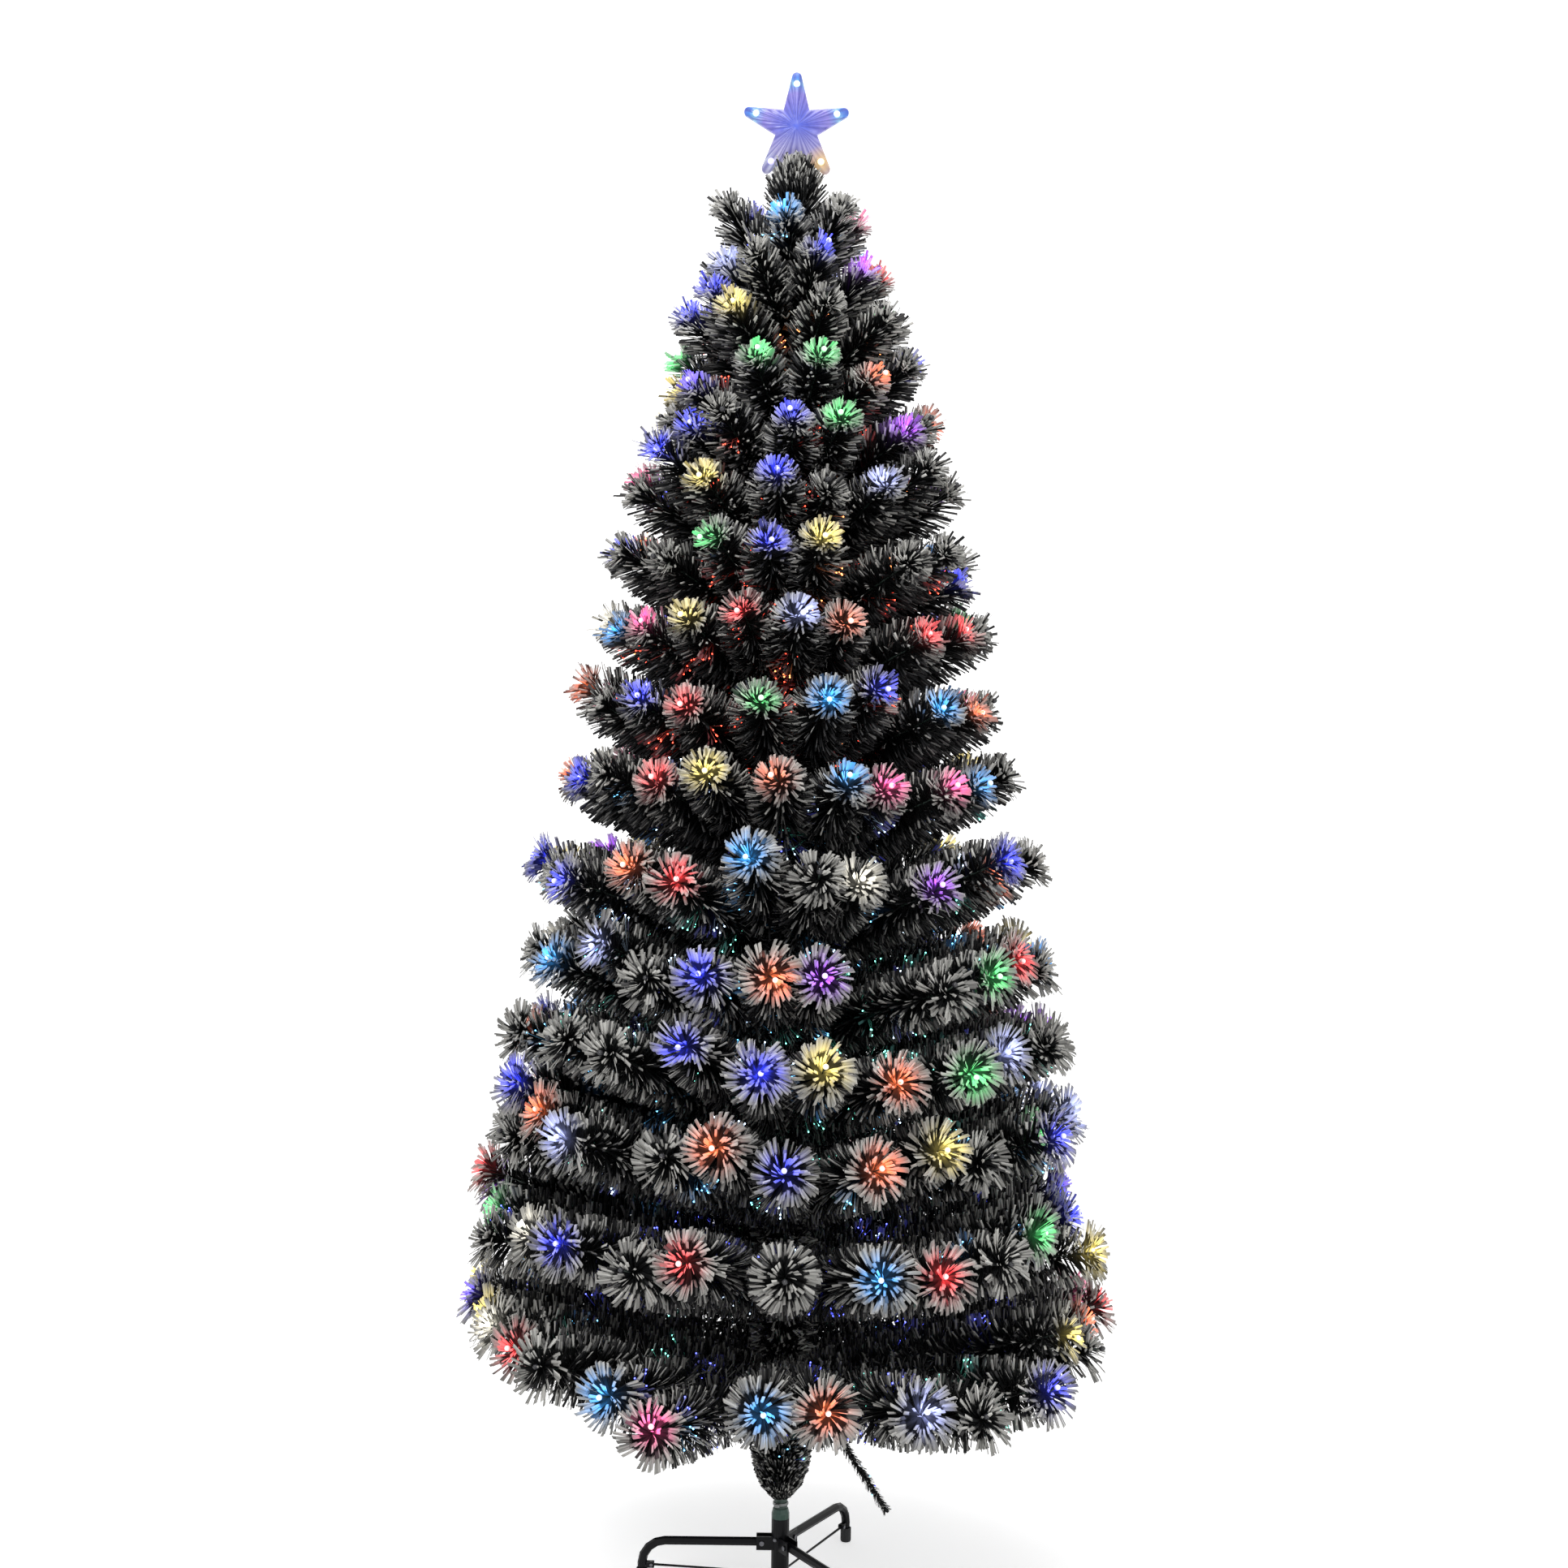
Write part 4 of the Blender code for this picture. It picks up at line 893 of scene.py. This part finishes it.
def dull_needles(frost, base, *rest):
    """Needles that no lamp lights; frost below 1 shortens the frosted end."""
    *shape, along = strips(base, *rest)
    plain = np.full(len(base), LETTERS.index("-"))
    return *shape, needle_texture(plain, np.zeros(len(along)), along, frost)


def fiber_piece(name, paths, ways, us, body):
    """Fibers as thin tubes, each with the bright melted round end it has."""
    ends = [path[-1] for path in paths]
    threads = tubes(paths, FIBER_RADIUS, us, 0.02, 0.77, sides=3)
    melted = beads(ends, ways, FIBER_END_RADIUS, us, 0.90, 0.98, rings=4, sides=5)
    new_piece(name, joined([threads, melted]), FIBERS, body)


SECTION_ENDS = {
    "trunk_lower": (0.275, 0.835),
    "trunk_middle": (0.835, 1.375),
    "trunk_upper": (1.375, 1.88),
}


def make_tier(index, branches, low, high):
    """The needles, wire stems, tip lamps and fibers of one tier."""
    body = TIER_BODIES[index]
    name = f"{index + 1:02d}"
    share = index / (len(TIER_BODIES) - 1)
    length = NEEDLE_LENGTH * (1 - (1 - TOP_NEEDLE_SHARE) * share)
    extra_lean = (BRUSH_LEANS_DEG[1] - BRUSH_LEANS_DEG[0]) * share**LEAN_GROWTH
    shaded = min(1.0, max(0.0, (index - FIRST_SHADED_TIER) / SHADED_TIER_STEPS))
    width = NEEDLE_WIDTH * (1 - SHADED_WIDTH_LOSS * shaded)
    style = Style(length, BRUSH_LEANS_DEG[0] + extra_lean, extra_lean, shaded, width)
    faces = [unit(unit(tip - root) + random.normal(0, FACE_SPREAD, 3)) for root, tip, *_ in branches]
    least, most = SECTION_ENDS[body]
    brushes = [trunk_needles(max(low, least), min(high, most), length * TRUNK_NEEDLE_SHARE)]
    paths, ways, fiber_us = [], [], []
    for (root, tip, lamp, letter), face in zip(branches, faces):
        bunches = place_bunches(root, tip, length, TIER_FIBERS[index])
        brushes.append(brush_body(root, tip, lamp, letter, bunches, style))
        brushes.append(rosette(tip, face, lamp, letter, style))
        fibers = make_fibers(root, tip, length, bunches)
        paths += fibers[0]
        ways += fibers[1]
        fiber_us += fibers[2]
    new_piece(f"needles_{name}", joined(brushes), NEEDLES, body, f"tier_{name}")
    stems = [(root, (root + tip) / 2, tip, lamp) for root, tip, lamp, _letter in branches]
    made = tubes(stems, STEM_RADIUS, [0.5] * len(stems))
    new_piece(f"stems_{name}", made, STEM, body)
    us = [lamp_u(letter) for *_, letter in branches]
    lamps = [stem[-1] for stem in stems]
    made = beads(lamps, faces, LAMP_RADIUS, us, 0.02, 0.98, rings=8, sides=10, stretch=1.15)
    new_piece(f"tip_lamps_{name}", made, LAMPS, body)
    fiber_piece(f"fibers_{name}", paths, ways, fiber_us, body)


PLACED = place_branches()
ROOTS = [branches[0][0][2] for branches in PLACED]
MIDDLES = [0.0] + [(a + b) / 2 for a, b in zip(ROOTS, ROOTS[1:])] + [TREE_HEIGHT]
for tier, tier_branches in enumerate(PLACED):
    make_tier(tier, tier_branches, MIDDLES[tier], MIDDLES[tier + 1])


CROWN_ROOT_HEIGHT = 1.880
CROWN_TIP_HEIGHT = 1.960
CROWN_ROOT_REACH = 0.013
CROWN_TIP_REACH = 0.015
CROWN_TIPS = 6
CROWN_TURN_SHARE = 0.25
CROWN_STYLE = Style(length=0.046, lean_deg=50, width=0.0022, frost=0.84)


def make_crown():
    """The short upright brush at the top of the trunk, round the star's holder."""
    parts = []
    for place in range(CROWN_TIPS):
        out = level_way(math.tau * (place + CROWN_TURN_SHARE) / CROWN_TIPS)
        root = out * CROWN_ROOT_REACH + [0, 0, CROWN_ROOT_HEIGHT]
        tip = out * CROWN_TIP_REACH + [0, 0, CROWN_TIP_HEIGHT]
        parts.append(brush_body(root, tip, tip, "-", (), CROWN_STYLE))
    new_piece("needles_crown", joined(parts), NEEDLES, "trunk_upper", "top_brush")


WRAP_LOW = 0.1235
WRAP_HIGH = 0.262
WRAP_HEIGHT_SHARES = (0.0, 0.14, 0.32, 0.5, 0.82, 1.0)
WRAP_REACHES = (0.0128, 0.030, 0.0405, 0.044, 0.0387, 0.030)
WRAP_NEEDLES = 1700
WRAP_RISES = (0.010, 0.036)
WRAP_NEEDLE_WIDTH = 0.0028
WRAP_FROST = 0.83
WRAP_FIBERS = "tctwctcb"
WRAP_FIBER_TURN = (-1.9, 0.1)


def make_wrap():
    """Needles round the trunk's foot, which rise out of the tie up to the bottom tier."""
    count = WRAP_NEEDLES
    share = random.uniform(0, 1, count)
    out, across = turned(EAST, NORTH, random.uniform(0, math.tau, count))
    reach = np.interp(share, WRAP_HEIGHT_SHARES, WRAP_REACHES) * random.uniform(0.88, 1.0, count)
    high = WRAP_LOW + share * (WRAP_HIGH - WRAP_LOW)
    base = out * (TRUNK_RADIUS + STEM_RADIUS / 2)
    base[:, 2] = np.maximum(WRAP_LOW, high - random.uniform(*WRAP_RISES, count))
    end = out * reach[:, None]
    end[:, 2] = high
    direction = unit(end - base)
    length = np.linalg.norm(end - base, axis=1)
    bend = across * (length * random.normal(0, 0.12, count))[:, None]
    side = flat_way(direction, across, random.normal(math.pi / 2, 0.7, count))
    width = np.full(count, WRAP_NEEDLE_WIDTH)
    made = dull_needles(WRAP_FROST, base, direction, length, side, bend, width)
    new_piece("needles_wrap", made, NEEDLES, "trunk_lower", "trunk_wrap")
    paths, ways = [], []
    for _letter in WRAP_FIBERS:
        way = level_way(random.uniform(*WRAP_FIBER_TURN))
        part = random.uniform(0.3, 0.95)
        far = way * np.interp(part, WRAP_HEIGHT_SHARES, WRAP_REACHES)
        far[2] = WRAP_LOW + part * (WRAP_HIGH - WRAP_LOW)
        near = way * TRUNK_RADIUS + [0, 0, far[2] - WRAP_RISES[0]]
        paths.append((near, (near + far) / 2, far))
        ways.append(way)
    us = [fiber_u(letter) for letter in WRAP_FIBERS]
    fiber_piece("wrap_fibers", paths, ways, us, "trunk_lower")


LOOSE_AZIMUTH_DEG = -15
LOOSE_REACHES = (0.022, 0.033, 0.059, 0.088, 0.122, 0.150)
LOOSE_HEIGHTS = (0.2705, 0.2705, 0.253, 0.209, 0.162, 0.122)
LOOSE_NEEDLES = 1100
LOOSE_STEM_RADIUS = 0.0014
LOOSE_FIBERS = "tccwtcb"
LOOSE_LENGTHS = (0.009, 0.0165)
LOOSE_WIDTH = 0.0016
LOOSE_CURL = 0.0005
LOOSE_FROST = 0.70
LOOSE_FIBER_LENGTH = 0.011


def make_loose_branch():
    """The thin branch under the bottom tier, with short needles that lie along it and fibers."""
    out = level_way(math.radians(LOOSE_AZIMUTH_DEG))
    points = np.array([out * r + [0, 0, z] for r, z in zip(LOOSE_REACHES, LOOSE_HEIGHTS)])
    count, spans = LOOSE_NEEDLES, len(points) - 1
    at = random.uniform(0.1, 1.0, count) * spans
    low = np.minimum(at.astype(int), spans - 1)
    part = (at - low)[:, None]
    base = points[low] * (1 - part) + points[low + 1] * part
    axes = unit(points[low + 1] - points[low])
    radial, around = turned(*frame_of(axes), random.uniform(0, math.tau, count))
    direction = unit(radial * 0.8 + axes)
    length = random.uniform(*LOOSE_LENGTHS, count) * (1.1 - 0.35 * at / spans)
    bend, width = around * LOOSE_CURL, np.full(count, LOOSE_WIDTH)
    needles = dull_needles(LOOSE_FROST, base, direction, length, around, bend, width)
    stem = tubes([points], LOOSE_STEM_RADIUS, [lamp_u("-", 0.0)], 0.02, 0.02, sides=6)
    made = joined([needles, stem])
    new_piece("loose_branch_look", made, NEEDLES, "trunk_lower", "loose_branch")
    paths = []
    for start, way, side in zip(base, direction, around[: len(LOOSE_FIBERS)]):
        middle = start + way * 0.005 + side * 0.001
        paths.append((start, middle, start + way * LOOSE_FIBER_LENGTH))
    us = [fiber_u(letter) for letter in LOOSE_FIBERS]
    fiber_piece("loose_fibers", paths, direction[: len(us)], us, "trunk_lower")


make_crown()
make_wrap()
make_loose_branch()


# Star


STAR_TIP_REACH = 0.0682
STAR_TIP_RADIUS = 0.0068
STAR_TIP_TURN_DEG = 65
STAR_TIP_STEPS = 7
STAR_NOTCH_REACH = 0.030
STAR_RIB = 0.0006
STAR_RIB_PITCH = 0.0035
# How bright the star's painted glow is along the ribs, two outline points at a time; low down it is
# dimmer.
STAR_STREAKS = (0.10, 0.98, 0.40, 0.85, 0.20, 0.98, 0.60)
STAR_LOW = -0.02
# Shares of the star's outline and of its depth, ring by ring from the rim to the middle.
STAR_RING_SHARES = (
    (1.0, 0.0), (1.0, 0.22), (0.97, 0.38), (0.85, 0.55),
    (0.68, 0.70), (0.5, 0.82), (0.32, 0.91), (0.16, 0.97),
)
STAR_SEAM = 0.00015
# The outer and the inner skin: share of the outline, depth, depth at the middle, ribs or none.
STAR_SKINS = ((1.0, 0.0148, 0.0150, True), (0.965, 0.0134, 0.0136, False))


def star_outline():
    """The rounded outline round the star's middle, in steps of the ribs' pitch."""
    corners = []
    for index in range(STAR_POINTS):
        ray = star_ray(index)
        for step in range(STAR_TIP_STEPS):
            share = step / (STAR_TIP_STEPS - 1)
            turn = ray + math.radians(STAR_TIP_TURN_DEG * (2 * share - 1))
            corners.append(STAR_TIP_REACH * star_way(ray) + STAR_TIP_RADIUS * star_way(turn))
        corners.append(STAR_NOTCH_REACH * star_way(ray + math.pi / STAR_POINTS))
    outline = []
    for corner, following in zip(corners, corners[1:] + corners[:1]):
        pieces = max(1, round(math.dist(corner, following) / STAR_RIB_PITCH))
        for step in range(pieces):
            outline.append(corner + (following - corner) * (step / pieces))
    return outline


def star_skin(outline, facing, width_share, depth, middle, ribbed):
    """The points and texture places of one skin of a half, from the rim to the middle."""
    vertices, texture = [], []
    for share, deep in STAR_RING_SHARES:
        for index, (x, _y, z) in enumerate(outline):
            out, streak = STAR_SEAM + depth * deep, 0.5
            if ribbed:
                rib = STAR_RIB * (1 if index // 2 % 2 else -1)
                out += rib * (share < 0.99) * min(1.0, share * 2.2)
                # Painted light: streaks of the glow along the ribs, dimmer below STAR_LOW.
                streak = STAR_STREAKS[index // 2 % len(STAR_STREAKS)]
                streak *= 1 if z > STAR_LOW else 0.7
            height = z * share * width_share + STAR_CENTRE.z
            vertices.append((x * share * width_share, facing * out, height))
            texture.append((min(0.99, math.hypot(x, z) / STAR_RADIUS * share), streak))
    vertices.append((0.0, facing * middle, STAR_CENTRE.z))
    texture.append((0.01, 0.98 if ribbed else 0.5))
    return vertices, texture


def make_star_half(name, facing, node):
    """Half of the star: a domed shell whose surface has fine ribs out from the middle."""
    outline = star_outline()
    vertices, texture = [], []
    for skin in STAR_SKINS:
        points, places = star_skin(outline, facing, *skin)
        vertices += points
        texture += places
    count, inner = len(outline), len(vertices) // 2
    sides = [(i, (i + 1) % count) for i in range(count)]
    quads, triangles = [], []
    for start, flip in ((0, facing > 0), (inner, facing < 0)):
        for ring in range(len(STAR_RING_SHARES) - 1):
            a, b = start + ring * count, start + (ring + 1) * count
            for i, j in sides:
                quad = (a + i, a + j, b + j, b + i)
                quads.append(quad[::-1] if flip else quad)
        middle = start + inner - 1
        last = middle - count
        for i, j in sides:
            side = (last + i, last + j, middle)
            triangles.append(side[::-1] if flip else side)
    for i, j in sides:
        quad = (i, inner + i, inner + j, j)
        quads.append(quad[::-1] if facing > 0 else quad)
    made = tuple(np.array(items) for items in (vertices, quads, triangles, texture))
    new_piece(name, made, STAR, "star", node)


STAR = star_material()
make_star_half("star_front_look", -1, "star_front_shell")
make_star_half("star_back_look", 1, "star_back_shell")


def make_star_lamps():
    """The star's five lamps on their wires, bright behind the clear tips."""
    places, ways, hues, wires = [], [], [], []
    for index, letter in enumerate(STAR_LAMP_LETTERS):
        out = star_way(star_ray(index))
        for side in (-1, 1):
            way = np.array([0.0, side, 0.0])
            places.append(np.array(STAR_CENTRE) + out * STAR_LAMP_REACH + way * STAR_LAMP_DEPTH)
            ways.append(way)
            hues.append(lamp_u(letter))
        wires.append([STAR_CENTRE + Vector(out) * reach for reach in STAR_WIRE_REACHES])
    made = beads(places, ways, STAR_LAMP_RADIUS, hues, 0.02, 0.98, rings=10, sides=14)
    new_piece("star_lamps_look", made, LAMPS, "star", "star_led_string")
    made = tubes(wires, STAR_WIRE_RADIUS, [0.5] * len(wires))
    new_piece("star_wires_look", made, STEM, "star")


make_star_lamps()


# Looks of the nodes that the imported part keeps

LOOKS = {
    "black": painted("black_gloss_paint", (0.002, 0.002, 0.003), 0.34, coat=0.04, level=0.13),
    "trunk": painted("dark_green_trunk_paint", (0.012, 0.032, 0.024), 0.45),
    "steel": painted("dark_zinc", (0.11, 0.11, 0.12), 0.3, metallic=1.0),
    "rubber": painted("black_rubber_look", (0.012, 0.012, 0.013), 0.75, depth=0.00008),
    "green": painted("green_moulded_plastic", (0.012, 0.050, 0.035), 0.42),
    "white": painted("white_moulded_nylon", (0.70, 0.70, 0.69), 0.4),
    "clear": painted("clear_nylon_tie", (0.22, 0.23, 0.23), 0.3),
}
NODE_LOOKS = {
    "stand_sleeve": "black", "leg_": "black", "brace_": "black", "leg_pin": "steel",
    "brace_pin": "steel", "locking_screw": "steel", "foot_cap": "rubber",
    "sleeve_bush": "green", "trunk_": "trunk", "cable_tie": "clear", "star_socket": "white",
}
for node_name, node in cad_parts.items():
    matches = [key for key in NODE_LOOKS if node_name.startswith(key)]
    if matches:
        node.data.materials.clear()
        node.data.materials.append(LOOKS[NODE_LOOKS[max(matches, key=len)]])


# Stage, lights and camera


def stage_material():
    made = Shader("pale_backdrop")
    cloud = made.noise(0.6, 1.0)
    pale = made.mix(cloud, (0.90, 0.90, 0.90), (0.94, 0.94, 0.94))
    made.put(Base_Color=pale, Roughness=0.9, Emission_Color=(1.0, 1.0, 1.0, 1.0))
    made.put(Emission_Strength=made.maths("MULTIPLY", made.seen(), STAGE_GLOW))
    return made.material


STAGE_HALF_WIDTH = 6.0
FLOOR_BACK = 3.0
WALL_CURVE = 1.5
WALL_STEPS = 12
WALL_TOP = 7.0


def make_stage():
    """A pale floor that curves up into the backdrop."""
    profile = [(-STAGE_HALF_WIDTH, 0.0), (FLOOR_BACK, 0.0)]
    for step in range(1, WALL_STEPS + 1):
        angle = math.pi / 2 * step / WALL_STEPS
        back = FLOOR_BACK + WALL_CURVE * math.sin(angle)
        profile.append((back, WALL_CURVE * (1 - math.cos(angle))))
    profile.append((FLOOR_BACK + WALL_CURVE, WALL_TOP))
    edges = (-STAGE_HALF_WIDTH, STAGE_HALF_WIDTH)
    vertices = [(x, y, z) for x in edges for y, z in profile]
    count = len(profile)
    faces = [(i, count + i, count + i + 1, i + 1) for i in range(count - 1)]
    mesh = bpy.data.meshes.new("backdrop")
    mesh.from_pydata(vertices, [], faces)
    mesh.shade_smooth()
    mesh.materials.append(stage_material())
    add_object("backdrop", mesh)


# Each lamp's name, place, target, size and power.
STAGE_LIGHTS = (
    ("key", (-1.6, -3.6, 3.6), (0.0, 0.0, 1.1), 1.6, 90.0),
    ("fill", (2.6, -3.2, 1.6), (0.0, 0.0, 0.9), 2.4, 30.0),
    ("top", (0.0, 0.2, 4.6), (0.0, 0.0, 0.0), 2.5, 60.0),
)
WORLD_GLOW = 0.45


def area_light(name, place, target, size, power):
    light = bpy.data.lights.new(name, "AREA")
    light.size = size
    light.energy = power
    obj = add_object(name, light)
    obj.location = place
    obj.rotation_euler = (Vector(target) - Vector(place)).to_track_quat("-Z", "Y").to_euler()


def make_camera():
    camera = bpy.data.cameras.new("camera")
    camera.sensor_width = SENSOR_WIDTH
    camera.lens = CAMERA_LENS
    camera.clip_end = 60.0
    obj = add_object("camera", camera)
    obj.matrix_world = camera_matrix()
    bpy.context.scene.camera = obj


def make_world():
    """Soft light from all round, which looks white where it is seen directly."""
    world = bpy.data.worlds.new("world")
    bpy.context.scene.world = world
    made = Nodes(world)
    strength = made.add("ShaderNodeMapRange")
    made.fill(strength, To_Min=WORLD_GLOW, To_Max=1.0, Value=made.seen())
    background = made.tree.nodes["Background"]
    made.fill(background, Color=(1.0, 1.0, 1.0, 1.0), Strength=strength.outputs["Result"])


make_stage()
for stage_light in STAGE_LIGHTS:
    area_light(*stage_light)
make_camera()
make_world()
bpy.context.scene.view_settings.view_transform = "Standard"
